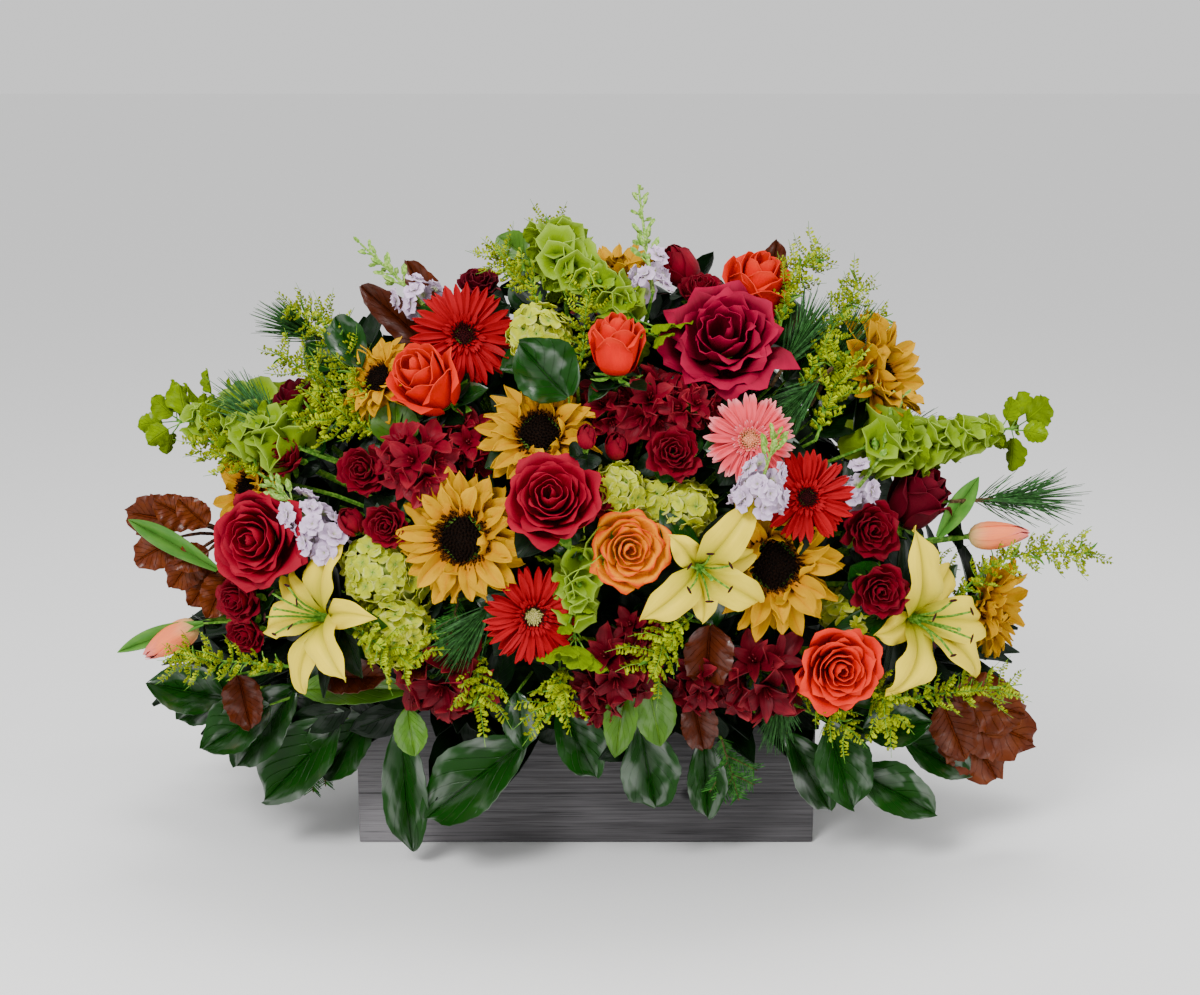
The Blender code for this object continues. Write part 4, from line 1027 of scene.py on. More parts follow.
def alstroemeria(kind, across, chance):
    """A cluster of funnels with broad outer and narrow inner petals. Finishes: petal, green."""
    d, vary = across * 1.15, chance.uniform
    shapes = [stalk([up(-0.44 * across), up(-0.25 * d)], [2, 2.6], 6, 1, 0.3)]
    for i in range(7):
        lean = 0.0 if i == 6 else 0.95
        out = around(tau * i / 6 + vary(-0.2, 0.2), lean, vary(0.65, 1.0)).normalized()
        throat = up(-0.28 * d) + out * 0.2 * d * vary(0.9, 1.15)
        shapes.append(stalk([up(-0.28 * d), throat - out * 0.02 * d], [1.2, 1.9], 5, 1, 0.3))
        pose = facing(throat, out, vary(0, 6))
        shapes += moved(small_flower(3, 0.42 * d, 0.2 * d, TAPERED, (70, 8), chance, grain=(4, 6), cup=0.4,
                                     crease=0.2, ruffle=0.08, waves=1.3, twist=vary(-0.5, 0.5)), pose)
        shapes += moved(small_flower(3, 0.37 * d, 0.13 * d, POINTED, (76, 26), chance, grain=(4, 5), cup=0.45,
                                     ruffle=0.08), pose @ turned(pi / 3))
        for j in range(4):
            tip = around(j * 1.7, 0.03 * d, 0.23 * d)
            shapes.append(stalk([up(0), tip], [0.5, 0.6], 3, 0, 0.9).at(pose))
    return shapes


def stem_line(path, count):
    """count points along a smooth stem, and its length."""
    line = smooth_path(path, count)
    return line, sum((b - a).length for a, b in zip(line, line[1:]))


def on_stem(line, place, spin):
    """The pose along the stem at one of its points, turned by spin."""
    k = min(int(place), len(line) - 2)
    return facing(line[k], (line[k + 1] - line[k]).normalized(), spin)


def stock_floret(size, chance):
    """A doubled, ruffled floret in two layers."""
    return [shape for petals, length, width, rise, grain, ruffle, cup in (
                (5, 0.52, 0.5, (20, -15), (3, 4), 0.16, 0.2), (4, 0.34, 0.36, (62, 20), (3, 3), 0.18, 0.3))
            for shape in small_flower(petals, size * length, size * width, ROUNDED, rise, chance, grain=grain,
                                      ruffle=ruffle, waves=1.6, cup=cup)]


def stock(path, chance):
    """Florets round a stem, and buds towards its tip. Finishes: petal, green."""
    line, length = stem_line(path, 24)
    short = length < 90
    shapes = [stalk(line, [2.0 - 0.05 * i for i in range(24)], 6, 1, 0.4)]
    blooming = 0.72 if short else 0.3
    florets = int((8 if short else 3) + length * blooming / 7)
    for i in range(florets):
        t = blooming * i / florets
        out = Vector((1, 0, 0.35))
        size = chance.uniform(20, 26) * (1 - 0.35 * t) * (1 if short else 0.85)
        place = facing(out.normalized() * chance.uniform(10, 19), out, chance.uniform(0, 6), AWAY)
        floret = moved(stock_floret(size, chance), place)
        shapes += moved(floret, on_stem(line, t * (len(line) - 1), i * GOLDEN))
    buds = int(8 + length * (1 - blooming) / 7)
    for i in range(buds):
        t = blooming + (1 - blooming) * (i + 0.5) / buds
        pose = on_stem(line, t * (len(line) - 1), i * GOLDEN)
        size = 9.5 - 4 * (i / buds)
        out = Vector((1, 0, 1.4)).normalized()
        tip = out * (4 + 5 * (1 - i / buds))
        shapes.append(stalk([up(0), tip], [0.7, 0.8], 4, 1, 0.4).at(pose))
        bud = seed_shape().at(pose @ (facing(tip, out) @ sized(size * 0.62, size * 0.72)))
        shapes.append(bud.painted(1, 0.7, chance.random()))
    return shapes


# ---------------------------------------------------------------- greenery

def leaf_between(foot, tip, width, face, chance, finish=0, **form):
    """A leaf from foot to tip that shows its face, a little bent."""
    bow = chance.uniform(12, 26)
    settings = {"shape": OVAL, "rise": (bow, -bow), "cup": 0.2, "crease": 0.3, "ruffle": 0.03, "waves": 1.5,
                "grain": (6, 10), **form}
    leaf = petal((tip - foot).length, width, chance=chance.random(), finish=finish,
                 phase=chance.uniform(0, 6), **settings)
    return leaf.at(reaching(foot, tip, face))


def plume(path, chance):
    """Goldenrod: thin arching side shoots with loose round buds and narrow leaves. Finishes: bud,
    stem."""
    vary = chance.uniform
    line, length = stem_line(path, 30)
    shapes = [stalk(line[::3] + [line[-1]], [1.2 - 0.08 * i for i in range(11)], 4, 1, 0.4)]
    plump = 1.3 if length < 85 else 1.0
    shoots = int(8 + length / 4.6)
    for i in range(shoots):
        t = 0.14 + 0.84 * i / shoots
        pose = on_stem(line, t * (len(line) - 2), i * GOLDEN + vary(-0.4, 0.4))
        reach = (7 + 18 * sin(pi * min(1.0, 1.22 - t)) ** 0.7) * vary(0.7, 1.2) * plump
        arc = [up(0), Vector((reach * 0.6, 0, reach * 0.14)), Vector((reach, 0, reach * 0.55))]
        arc = smooth_path(arc, 5)
        shapes.append(stalk(arc, [0.4, 0.35, 0.3, 0.28, 0.2], 3, 1, 0.4).at(pose))
        buds = int(4.5 + reach / 1.8)
        for j in range(buds):
            share = (j + 0.9) / buds
            k = int(share * 3)
            along = arc[k].lerp(arc[k + 1], share * 3 % 1)
            side = Vector((vary(-0.3, 0.3), (-1) ** j * vary(0.5, 1), vary(0.2, 1))).normalized()
            size = vary(1.15, 1.8) * (1.1 - 0.25 * share) * plump
            gap = vary(1.7, 3.9) * plump
            bud = bud_shape(max(0.01, gap / (size * 1.15) - 1)).at(sized(size, size * 1.15))
            shapes.append(bud.at(pose @ facing(along + side * gap, side)).painted(0, share, chance.random()))
        if i % 3 == 0:
            blade = petal(vary(10, 17), 2.6, LANCE, (50, 10), grain=(2, 4), chance=chance.random(), finish=1)
            shapes.append(blade.at(pose @ turned(1.2)))
    return shapes


def bell(size, chance):
    """One shell-like bell along +Z, with a crinkled rim."""
    lobes, phase = chance.randint(4, 5), chance.uniform(0, 6)

    def place(across, along):
        angle = pi * across
        flare = size * (0.12 + 0.42 * along ** 1.5)
        radius = flare * (1 + 0.12 * along ** 2 * np.cos(lobes * angle + phase))
        height = size * (0.62 * along ** 0.8 + 0.06 * along ** 3 * np.sin(lobes * angle + phase))
        return np.stack([radius * np.cos(angle), radius * np.sin(angle), height], 1)

    inside = ball_shape().at(raised(size * 0.2) @ Matrix.Scale(size * 0.12, 4)).painted(1, 0.4)
    cup = sheet(12, 3, place, chance.random())
    cup.growth[:, 1] = np.abs(cup.growth[:, 1])
    return [cup, inside]


def bells(path, chance):
    """Bells of Ireland: whorls of bells up a stem and scalloped leaves at its tip. Finishes: bell,
    stem, leaf."""
    vary = chance.uniform
    line, length = stem_line(path, 30)
    shapes = [stalk(line[::3] + [line[-1]], [2.4 - 0.15 * i for i in range(11)], 6, 1, 0.5)]
    whorls = int(length / 12)
    for i in range(whorls):
        t = 0.06 + 0.86 * i / whorls
        pose = on_stem(line, t * (len(line) - 2), i * 0.8)
        size = 35 * (1 - 0.5 * t) * vary(0.8, 1.12)
        for j in range(4):
            out = Vector((1, vary(-0.3, 0.3), 0.5 + vary(-0.4, 0.5))).normalized()
            side = pose @ turned(tau * j / 4 + vary(-0.35, 0.35)) @ facing(out * vary(1, 5), out, 0.0, AWAY)
            shapes += moved(bell(size * vary(0.75, 1.08), chance), side)
        shapes += stalked_leaf(pose @ turned(0.8 + chance.random()), size * 0.6, size * 0.6, chance)
    end = (line[-1] - line[-3]).normalized()
    for j in range(7):
        pose = facing(line[-1 - j // 2], end, j * GOLDEN)
        shapes += stalked_leaf(pose, vary(8, 20), vary(19, 30), chance)
    return shapes


def stalked_leaf(pose, reach, length, chance):
    """A scalloped leaf on a thin stalk that leans out from the stem."""
    rise = chance.uniform(15, 60)
    knee = Vector((cos(radians(rise)), 0, sin(radians(rise)))) * reach
    leaf = petal(length, length * chance.uniform(0.75, 0.95), BROAD, (rise, rise - 45), cup=0.2, crease=0.25,
                 teeth=0.14, ruffle=0.06, grain=(6, 12), chance=chance.random(), finish=2)
    stem = stalk([up(0), knee * 0.5 + Vector((0.5, 0, 0)), knee], [0.8, 0.6, 0.6], 4, 1, 0.5)
    return [stem.at(pose), leaf.at(pose @ Matrix.Translation(knee))]


def needle(path, radii, pose, chance):
    """A thin needle that tapers along its path."""
    made = stalk(path, radii, 3, 0, 0.5)
    made.growth[:, 2] = chance.random()
    return made.at(pose)


def pine(foot, tip, length, chance):
    """A slim twig with long needles fanned about it. Finishes: needle, bark."""
    way = (tip - foot).normalized()
    reach = max((tip - foot).length - length * 0.5, 12)
    shapes = [stalk([foot, foot + way * reach], [1.8, 1.4], 5, 1, 0.3)]
    for i in range(150):
        pose = facing(foot + way * reach * chance.uniform(0.3, 1.0), way, i * GOLDEN)
        lean = chance.uniform(0.12, 0.6)
        out = Vector((lean, 0.1 * chance.uniform(-1, 1), 1)).normalized()
        out = out * length * chance.uniform(0.75, 1.05)
        shapes.append(needle([up(0), out * 0.5 + Vector((0.8, 0, 0)), out], [0.45, 0.6, 0.2], pose, chance))
    return shapes


def fir(foot, tip, chance):
    """A flat spray of short needles on forking twigs. Finishes: needle, bark."""
    pose = reaching(foot, tip, Vector((0, -1, 0.3)))
    length = (tip - foot).length
    gap = 1.9
    shapes = []
    for fork, start, reach in ((0, 0.0, 1.0), (0.7, 0.25, 0.5), (-0.7, 0.35, 0.5), (0.7, 0.55, 0.38),
                               (-0.7, 0.62, 0.34)):
        twig = pose @ Matrix.Translation((length * start, 0, 0)) @ turned(fork)
        run = length * reach
        shapes.append(stalk([up(0), Vector((run, 0, 0))], [1.1, 0.6], 4, 1, 0.3).at(twig))
        for i in range(int(run / gap)):
            for side in (-1, 1):
                end = Vector((gap * i + 6, side * chance.uniform(6, 9), chance.uniform(-0.5, 2.5)))
                shapes.append(needle([Vector((gap * i, 0, 0)), end], [0.7, 0.35], twig, chance))
    return shapes


# The dark finish is partly painted shade in the gaps, under the flowers and below the rim.
DARK_SHADED_LEAF, MID_LEAF = 0, 3  # the places of these two finishes in the undergrowth


def rim_leaves(chance):
    """(foot, tip) of the dark leaves that hang over the rim in rows, longest at the two ends. Their dark
    finish is partly painted shade.
    """
    for start, drop, count in ((190, 18, 50), (172, 26, 50), (156, 36, 54), (140, 46, 44)):
        for i in range(count):
            angle = tau * (i + chance.uniform(-0.3, 0.3)) / count
            angle -= 0.45 * sin(2 * angle)
            way = around(angle)
            end = abs(way.x) ** 1.5
            foot = Vector((way.x * (205 + 85 * chance.random() * end), way.y * 88,
                           start - 10 * chance.random()))
            reach = 62 + 42 * end + chance.uniform(-12, 18)
            side, fall = chance.uniform(-25, 25), -drop * chance.uniform(0.5, 1.35)
            yield foot, foot + way * reach + Vector((side, 0, fall))


def fill_leaves(chance, count):
    """Dark and some paler leaves that lie round the middle in a shell. The dark ones are partly painted
    shade, and are most common at the front, where they fill the gaps between the flowers.
    """
    for i in range(count):
        way = spread(i, count, 1.45)
        share = chance.uniform(0.78, 1.0)
        place = SHELL_CENTRE + Vector([a * b * share for a, b in zip(way, SHELL_REACH)])
        if place.z < FOAM_TOP + 8:
            continue
        out = Vector((way.x * 0.7, way.y * 1.3, way.z)).normalized()
        drift = Vector([chance.uniform(-1, 1) for _ in range(3)]) + up(0.35) + way * 0.5
        tip = place + (drift - out * drift.dot(out) * 0.7).normalized() * chance.uniform(38, 66)
        tip.z = max(tip.z, FOAM_TOP - 10)
        # Painted shade: at the front most leaves take the dark finish, while at the back and the sides more
        # take the paler one.
        paler = 0.45 if way.y > -0.1 else 0.12
        finish = MID_LEAF if chance.random() < paler else DARK_SHADED_LEAF
        yield leaf_between(place, tip, chance.uniform(20, 32), out, chance, finish, grain=(2, 6))


def seat_leaves(chance, kind, place, across, turn, lift):
    """The leaves under a flower and the stem that carries it."""
    pose = pose_of(place, turn, lift)
    seat = pose @ up(-SEATS.get(kind, 0.4) * across)
    out = (pose @ up(1) - pose.translation).normalized()
    bow = seat + (pose @ up(-1) - pose.translation) * 30
    start = chance.uniform(0, 6)
    for j in range(6 if across > 30 else 2):
        pose = facing(seat - out * 4, out, start + j * 1.05 + chance.uniform(-0.3, 0.3))
        tip = pose @ Vector((across * 0.46 + chance.uniform(0, 14), 0, chance.uniform(-16, 4)))
        # Most leaves under a flower take the dark finish, which is painted shade.
        finish = MID_LEAF if j % 3 == 2 else DARK_SHADED_LEAF
        yield leaf_between(seat - out * 4, tip, chance.uniform(20, 32), out, chance, finish, grain=(2, 6))
    root = rooted(seat)
    yield stalk(smooth_path([root, bow.lerp(root, 0.3), seat], 8), [2.6] * 7 + [2.2], 6, 1, 0.3)


# ---------------------------------------------------------------- planting

def plant(starts, build, materials, slot, **form):
    """One piece for each CAD node whose name starts so, with its flowers at their places."""
    nodes = {}
    for node, *flower in BLOOMS:
        if node.startswith(starts):
            nodes.setdefault(node, []).append(flower)
    if not nodes:
        raise RuntimeError(f"nothing is planted for {starts}")
    for node, flowers in nodes.items():
        chance = random.Random(node)
        shapes = []
        for kind, *place, across, turn, lift in flowers:
            shapes += moved(build(kind, across, chance, **form), pose_of(place, turn, lift))
        piece(f"{node}_petals", shapes, [*materials, green_finish()], node, slot)


def colours():
    return bpy.context.scene.centerpiece_colours


def green_finish():
    made = bpy.data.materials.get("green_stem")
    return made or speckled_finish("green_stem", (70, 120, 34), (120, 164, 60), grain=300, roughness=0.5)


class CENTERPIECE_OT_box(bpy.types.Operator):
    """Give the boards worn edges and grey weathered grain, and finish the liner and the foam"""

    bl_idname = "centerpiece.box"
    bl_label = "Planter box"

    def execute(self, context):
        wood = self.wood_finish(colours().wood)
        for side in ("front", "back", "left", "right", "bottom"):
            name = f"board_{side}"
            low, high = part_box(name)
            bpy.ops.object.select_all(action="DESELECT")
            bpy.ops.mesh.primitive_cube_add(size=1, location=(low + high) / 2)
            board = context.object
            board.name = f"{name}_worn"
            board.scale = high - low
            bpy.ops.object.transform_apply(location=True, rotation=True, scale=True)
            worn = board.modifiers.new("edges", "BEVEL")
            worn.width = context.scene.centerpiece_sizes.edge
            worn.segments = 3
            bpy.ops.object.modifier_apply(modifier=worn.name)
            bpy.ops.object.shade_smooth_by_angle(angle=radians(35))
            board.data.materials.append(wood)
            settle(board, name, "board")
        plain = speckled_finish("liner_plastic", (20, 20, 20), (30, 30, 30), grain=200, roughness=0.45)
        wet = speckled_finish("wet_foam", (24, 52, 28), (44, 78, 44), grain=700, roughness=0.9)
        for node, finish in (("liner", plain), ("foam", wet)):
            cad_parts[node].data.materials.clear()
            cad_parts[node].data.materials.append(finish)
        return {"FINISHED"}

    def wood_finish(self, grey):
        """Weathered grain that bends round a knot, a seam between two boards, and painted light that makes
        the left end lighter.
        """
        finish = Finish("weathered_wood_with_painted_light", roughness=0.85, specular_ior_level=0.15)
        knot_x, knot_z, seam_z = 0.093, 0.046, 0.047
        place = finish.place()
        x, _, z = finish.parts(place)
        knot = ((x - knot_x) * 0.7) ** 2 + (z - knot_z) ** 2
        bent = finish.vector(x, 0.0, z + knot.step(0.0, 0.0006) * 0.006 * (z - knot_z).step(-0.004, 0.004))
        grain = finish.noise(finish.stretched(bent, 7, 0, 420), 1.0, 6.0)
        fine = finish.noise(finish.stretched(bent, 18, 0, 1500), 1.0, 3.0)
        broad = finish.noise(finish.stretched(place, 5, 5, 22), 1.0, 3.0)
        seam = abs(z - seam_z + (grain - 0.5) * 0.002).step(0.0002, 0.0012)
        colour = finish.mix(grain.step(0.3, 0.7), toned(grey, 0.6), toned(grey, 1.2))
        # The mix on -x is painted light that makes the left end of the boards lighter. The other mixes are
        # weathering, fine grain, the knot and the seam.
        for share, tone in ((broad.step(0.4, 0.7) * 0.6, 0.45), ((0 - x).step(0.05, 0.2) * 0.55, 2.6),
                            (fine.step(0.54, 0.68) * 0.7, 0.2),
                            ((1 - knot.step(0.000004, 0.00006)) * 0.85, 0.12), ((1 - seam) * 0.6, 0.2)):
            colour = finish.mix(share, colour, toned(grey, tone))
        return finish.done(colour, grain * 0.6 + fine * 0.4 + seam * 0.4, 1.0)


class CENTERPIECE_OT_sunflowers(bpy.types.Operator):
    """Grow the sunflowers"""

    bl_idname = "centerpiece.sunflowers"
    bl_label = "Sunflowers"

    def execute(self, context):
        petals = petal_finish("sunflower_petal", (190, 104, 0), colours().sunflower, 1.1, deep=0.35,
                              roughness=0.5, streaks=18, gloss=0.06, uneven=0.25, rib=0.25)
        seeds = speckled_finish("sunflower_disc", (7, 4, 2), (30, 15, 6), grain=1500, roughness=0.95)
        pollen = speckled_finish("sunflower_pollen", (16, 7, 3), (112, 62, 14), grain=900, roughness=0.95)
        for starts, closing in (("sunflower_upper_right", 16), ("sunflower_far", 20), ("sunflower_left", 0),
                                ("sunflower_right", 0), ("sunflower_top", 20), ("sunflower_upper_left", 0),
                                ("sunflowers", 0)):
            plant(starts, sunflower, [petals, seeds, pollen], "sunflower", closing=closing)
        return {"FINISHED"}


class CENTERPIECE_OT_gerberas(bpy.types.Operator):
    """Grow the gerberas"""

    bl_idname = "centerpiece.gerberas"
    bl_label = "Gerberas"

    def execute(self, context):
        dark = speckled_finish("gerbera_dark_disc", (24, 6, 8), (70, 14, 16), grain=1500, roughness=0.8)
        pale = speckled_finish("gerbera_pale_disc", (150, 150, 70), (214, 200, 140), grain=1500,
                               roughness=0.8)
        peach = speckled_finish("gerbera_peach_disc", (206, 120, 80), (250, 190, 150), grain=1500,
                                roughness=0.8)
        red = petal_finish("gerbera_petal", 0.6, colours().gerbera, 1.1, deep=0.5, roughness=0.5, streaks=16)
        pink = petal_finish("gerbera_pink_petal", 0.8, colours().pink, blended(colours().pink, WHITE, 0.25),
                            deep=0.3, roughness=0.5, streaks=16)
        for node, petals, heart, pollen, slot in (
                ("gerbera_top", red, dark, dark, "gerbera_red"),
                ("gerbera_low", red, pale, dark, "gerbera_red"),
                ("gerbera_right", red, dark, dark, "gerbera_red"),
                ("gerbera_pink", pink, peach, peach, "gerbera_pink")):
            plant(node, gerbera, [petals, heart, pollen], slot)
        return {"FINISHED"}


class CENTERPIECE_OT_roses(bpy.types.Operator):
    """Grow the large roses"""

    bl_idname = "centerpiece.roses"
    bl_label = "Roses"

    def execute(self, context):
        burgundy, coral = colours().burgundy, colours().coral
        # The red, burgundy, dark and coral petals are darker at the heart, which is painted shade deep in the
        # cup. The lighter crimson rim is a painted sheen.
        red = petal_finish("rose_red_petal", 0.4, colours().crimson, 1.1, deep=0.6, roughness=0.6, streaks=22)
        wine = petal_finish("rose_burgundy_petal", 0.35, burgundy, blended(burgundy, (206, 0, 74), 0.4),
                            deep=0.6, roughness=0.6, streaks=22, gloss=0.08)
        dark = petal_finish("rose_dark_petal", toned(burgundy, 0.3), toned(burgundy, 0.6),
                            toned(burgundy, 0.8), deep=0.6, roughness=0.6, streaks=22)
        warm = petal_finish("rose_coral_petal", 0.5, coral, blended(coral, (255, 110, 70), 0.2),
                            deep=0.4, streaks=22, gloss=0.08)
        amber = petal_finish("rose_orange_petal", (252, 190, 20), colours().orange, (220, 60, 16),
                             deep=0.3, streaks=22, gloss=0.08, rim_from=0.84)
        for starts, petals, slot in (
                ("rose_crimson", red, "rose_red"), ("rose_red", red, "rose_red"),
                ("roses_back", red, "rose_red"),
                ("rose_burgundy", wine, "rose_dark"), ("rose_dark", dark, "rose_dark"),
                ("rose_coral", warm, "rose_coral"), ("rose_orange", amber, "rose_orange")):
            plant(starts, rose, [petals], slot)
        return {"FINISHED"}


class CENTERPIECE_OT_spray_roses(bpy.types.Operator):
    """Grow the small roses and their buds"""

    bl_idname = "centerpiece.spray_roses"
    bl_label = "Spray roses"

    def execute(self, context):
        # The darker heart of each petal is painted shade deep in the cup.
        petals = petal_finish("spray_rose_petal", 0.5, colours().spray, 0.62, deep=0.5, roughness=0.6,
                              streaks=20)
        plant("spray_roses", rose, [petals], "spray_rose")
        return {"FINISHED"}


class CENTERPIECE_OT_lilies(bpy.types.Operator):
    """Grow the lilies"""

    bl_idname = "centerpiece.lilies"
    bl_label = "Lilies"

    def execute(self, context):
        petals = petal_finish("lily_petal", (150, 150, 10), colours().lily, 1.06, deep=0.35, roughness=0.45,
                              streaks=12, rib=0.45)
        anther = speckled_finish("lily_anther", (26, 8, 14), (66, 26, 30), grain=1500, roughness=0.8)
        for node, turns in LILY_PETALS.items():
            plant(node, lily, [petals, anther], "lily", petals=turns)
        return {"FINISHED"}


class CENTERPIECE_OT_tulips(bpy.types.Operator):
    """Grow the tulips"""

    bl_idname = "centerpiece.tulips"
    bl_label = "Tulips"

    def execute(self, context):
        petals = petal_finish("tulip_petal", (216, 200, 130), colours().tulip, (232, 120, 116), deep=0.25,
                              roughness=0.45, streaks=14)
        plant("tulip", tulip, [petals], "tulip")
        return {"FINISHED"}


class CENTERPIECE_OT_hydrangeas(bpy.types.Operator):
    """Grow the hydrangea heads"""

    bl_idname = "centerpiece.hydrangeas"
    bl_label = "Hydrangeas"

    def execute(self, context):
        lime = colours().hydrangea
        petals = petal_finish("hydrangea_petal", (150, 172, 70), lime, blended(lime, (236, 236, 190), 0.25),
                              deep=0.4, streaks=10)
        plant("hydrangea", hydrangea, [petals], "hydrangea")
        return {"FINISHED"}


class CENTERPIECE_OT_alstroemerias(bpy.types.Operator):
    """Grow the alstroemeria clusters"""

    bl_idname = "centerpiece.alstroemerias"
    bl_label = "Alstroemerias"

    def execute(self, context):
        # Lit and shaded copies of one colour: the low clusters are darker as painted shade, and the upper
        # ones lighter as painted light. Each petal's dark heart is painted shade in the throat, and its
        # lighter rim is a painted highlight.
        for starts, share in (("alstroemeria_low", 0.62), ("alstroemeria_centre", 1.0),
                              ("alstroemeria_upper", 1.1)):
            tint = toned(colours().alstroemeria, share)
            petals = petal_finish(f"{starts}_petal", 0.3, tint, blended(tint, (214, 60, 70), 0.32),
                                  deep=0.6, roughness=0.42, streaks=12, uneven=0.6)
            plant(starts, alstroemeria, [petals], "alstroemeria")
        return {"FINISHED"}


class CENTERPIECE_OT_stock(bpy.types.Operator):
    """Grow the stock spikes"""

    bl_idname = "centerpiece.stock"
    bl_label = "Stock"

    def execute(self, context):
        lilac = colours().stock
        petals = petal_finish("stock_petal", (176, 190, 120), lilac, blended(lilac, WHITE, 0.2), deep=0.35,
                              streaks=10)
        green = speckled_finish("stock_bud", (104, 146, 50), (156, 188, 92), grain=400, roughness=0.55)
        for node, *stem in STOCKS:
            shapes = stock(places(stem), random.Random(node))
            piece(f"{node}_florets", shapes, [petals, green], node, "stock")
        return {"FINISHED"}


class CENTERPIECE_OT_beech(bpy.types.Operator):
    """Grow the copper beech sprigs"""

    bl_idname = "centerpiece.beech"
    bl_label = "Beech"

    def execute(self, context):
        copper = colours().beech
        blade = leaf_finish("beech_leaf", copper, 2.0, blended(toned(copper, 1.6), (120, 64, 16), 0.5),
                            ribs=9, slant=2.2, roughness=0.42, gloss=0.12, depth=1.6)
        twig = speckled_finish("beech_twig", (52, 30, 20), (84, 54, 36), grain=300, roughness=0.8)
        face = Vector((0.1, -1, 0.25))
        for node, foot in BEECH_FEET.items():
            chance = random.Random(node)
            shapes = []
            for start, tip in (places(leaf) for sprig, *leaf in BEECHES if sprig == node):
                path = smooth_path([foot, (foot + start) / 2 + up(4), start], 6)
                shapes.append(stalk(path, [1.6] * 5 + [0.9], 5, 1))
                shapes.append(leaf_between(
                    start, tip, (tip - start).length * 0.72, face, chance, ruffle=0.09, waves=4, shape=BROAD,
                    teeth=0.06, grain=(8, 16), cup=-0.1, crease=0.4))
            piece(f"{node}_leaves", shapes, [blade, twig], node, "beech_leaf")
        return {"FINISHED"}


class CENTERPIECE_OT_goldenrod(bpy.types.Operator):
    """Grow the goldenrod plumes"""

    bl_idname = "centerpiece.goldenrod"
    bl_label = "Goldenrod"

    def execute(self, context):
        gold = colours().plume
        buds = speckled_finish("goldenrod_bud", toned(gold, 0.55), toned(gold, 1.3), grain=90, roughness=0.55)
        for name, paths in (("goldenrod_front", GOLDENRODS[:-BACK_GOLDENRODS]),
                            ("goldenrod_back", GOLDENRODS[-BACK_GOLDENRODS:])):
            chance = random.Random(name)
            piece(name, [shape for path in paths for shape in plume(path, chance)], [buds, green_finish()])
        return {"FINISHED"}


class CENTERPIECE_OT_bells(bpy.types.Operator):
    """Grow the bells of Ireland"""

    bl_idname = "centerpiece.bells"
    bl_label = "Bells of Ireland"

    def execute(self, context):
        green = colours().bright
        cup = petal_finish("bell", 0.7, green, blended(green, (206, 230, 140), 0.16), deep=0.5,
                           roughness=0.45, streaks=30)
        blade = leaf_finish("bell_leaf", toned(green, 0.7), toned(green, 1.3), green, ribs=6, slant=2.0,
                            roughness=0.45, gloss=0.0, depth=0.6)
        for i, path in enumerate(BELLS):
            piece(f"bells_{i + 1}", bells(path, random.Random(i)), [cup, green_finish(), blade])
        return {"FINISHED"}


class CENTERPIECE_OT_leaves(bpy.types.Operator):
    """Grow the large leaves: glossy salal, young green, long tulip leaves and copper leaves"""

    bl_idname = "centerpiece.leaves"
    bl_label = "Large leaves"

    def execute(self, context):
        copper = colours().beech
        salal = leaf_finish("salal_leaf", colours().salal, 1.9, 0.6, ribs=6, gloss=0.15, depth=1.4,
                            marked=0.25, wax=0.9)
        young = leaf_finish("young_leaf", (62, 104, 12), (112, 154, 48), (84, 130, 24),
                            ribs=7, slant=2.4, roughness=0.38, depth=0.7, marked=0.3, wax=0.3)
        brown = leaf_finish("copper_leaf", toned(copper, 0.6), toned(copper, 1.4), copper, ribs=9, slant=2.2,
                            roughness=0.42, gloss=0.12, depth=1.6, marked=0.3, wax=0.2)
        blade = leaf_finish("tulip_leaf", (70, 124, 44), (122, 170, 74), (104, 152, 60), ribs=0.5, slant=0.1,
                            roughness=0.4, gloss=0.1, depth=0.3)
        leaves = [*LEAVES, *back_leaves()]
        for kind, finish, form in (
                ("salal", salal, {"shape": OVAL, "teeth": 0.03, "grain": (8, 20), "ruffle": 0.08,
                                  "waves": 2.2, "cup": 0.3, "crease": 0.5}),
                ("bright", young, {"shape": OVAL, "teeth": 0.05, "grain": (8, 16)}),
                ("copper", brown, {"shape": BROAD, "ruffle": 0.1, "waves": 4, "teeth": 0.06,
                                   "grain": (8, 18), "crease": 0.5}),
                ("tulip", blade, {"shape": LANCE, "crease": 0.8, "ruffle": 0.0, "grain": (6, 16)})):
            chance = random.Random(kind)
            shapes = []
            for sort, *ends, width in leaves:
                if sort != kind:
                    continue
                foot, tip = places(ends)
                face = Vector((0.15 * (tip - foot).normalized().x, -1 if foot.y < 60 else 1, 0.55))
                shapes.append(leaf_between(foot, tip, width * 1.12, face, chance, **form))
                back = foot + (CORE_CENTRE - foot).normalized() * 40
                path = smooth_path([back, (foot + back) / 2, foot], 4)
                shapes.append(stalk(path, [1.5, 1.4, 1.2, 0.8], 5, 1, 0.3))
            piece(f"leaves_{kind}", shapes, [finish, green_finish()])
        return {"FINISHED"}


class CENTERPIECE_OT_needles(bpy.types.Operator):
    """Grow the pine tufts and the fir tips"""

    bl_idname = "centerpiece.needles"
    bl_label = "Pine and fir"

    def execute(self, context):
        green = colours().needle
        bark = speckled_finish("twig_bark", (64, 48, 30), (96, 76, 50), grain=400, roughness=0.8)
        needle = speckled_finish("pine_needle", toned(green, 0.7), toned(green, 1.5), grain=260,
                                 roughness=0.45)
        tip = speckled_finish("fir_needle", (28, 78, 24), (62, 122, 44), grain=260, roughness=0.45)
        chance = random.Random(7)
        tufts = [shape for *ends, length in PINES for shape in pine(*places(ends), length, chance)]
        piece("pine_tufts", tufts, [needle, bark])
        tips = [shape for ends in FIRS for shape in fir(*places(ends), chance)]
        piece("fir_tips", tips, [tip, bark])
        return {"FINISHED"}


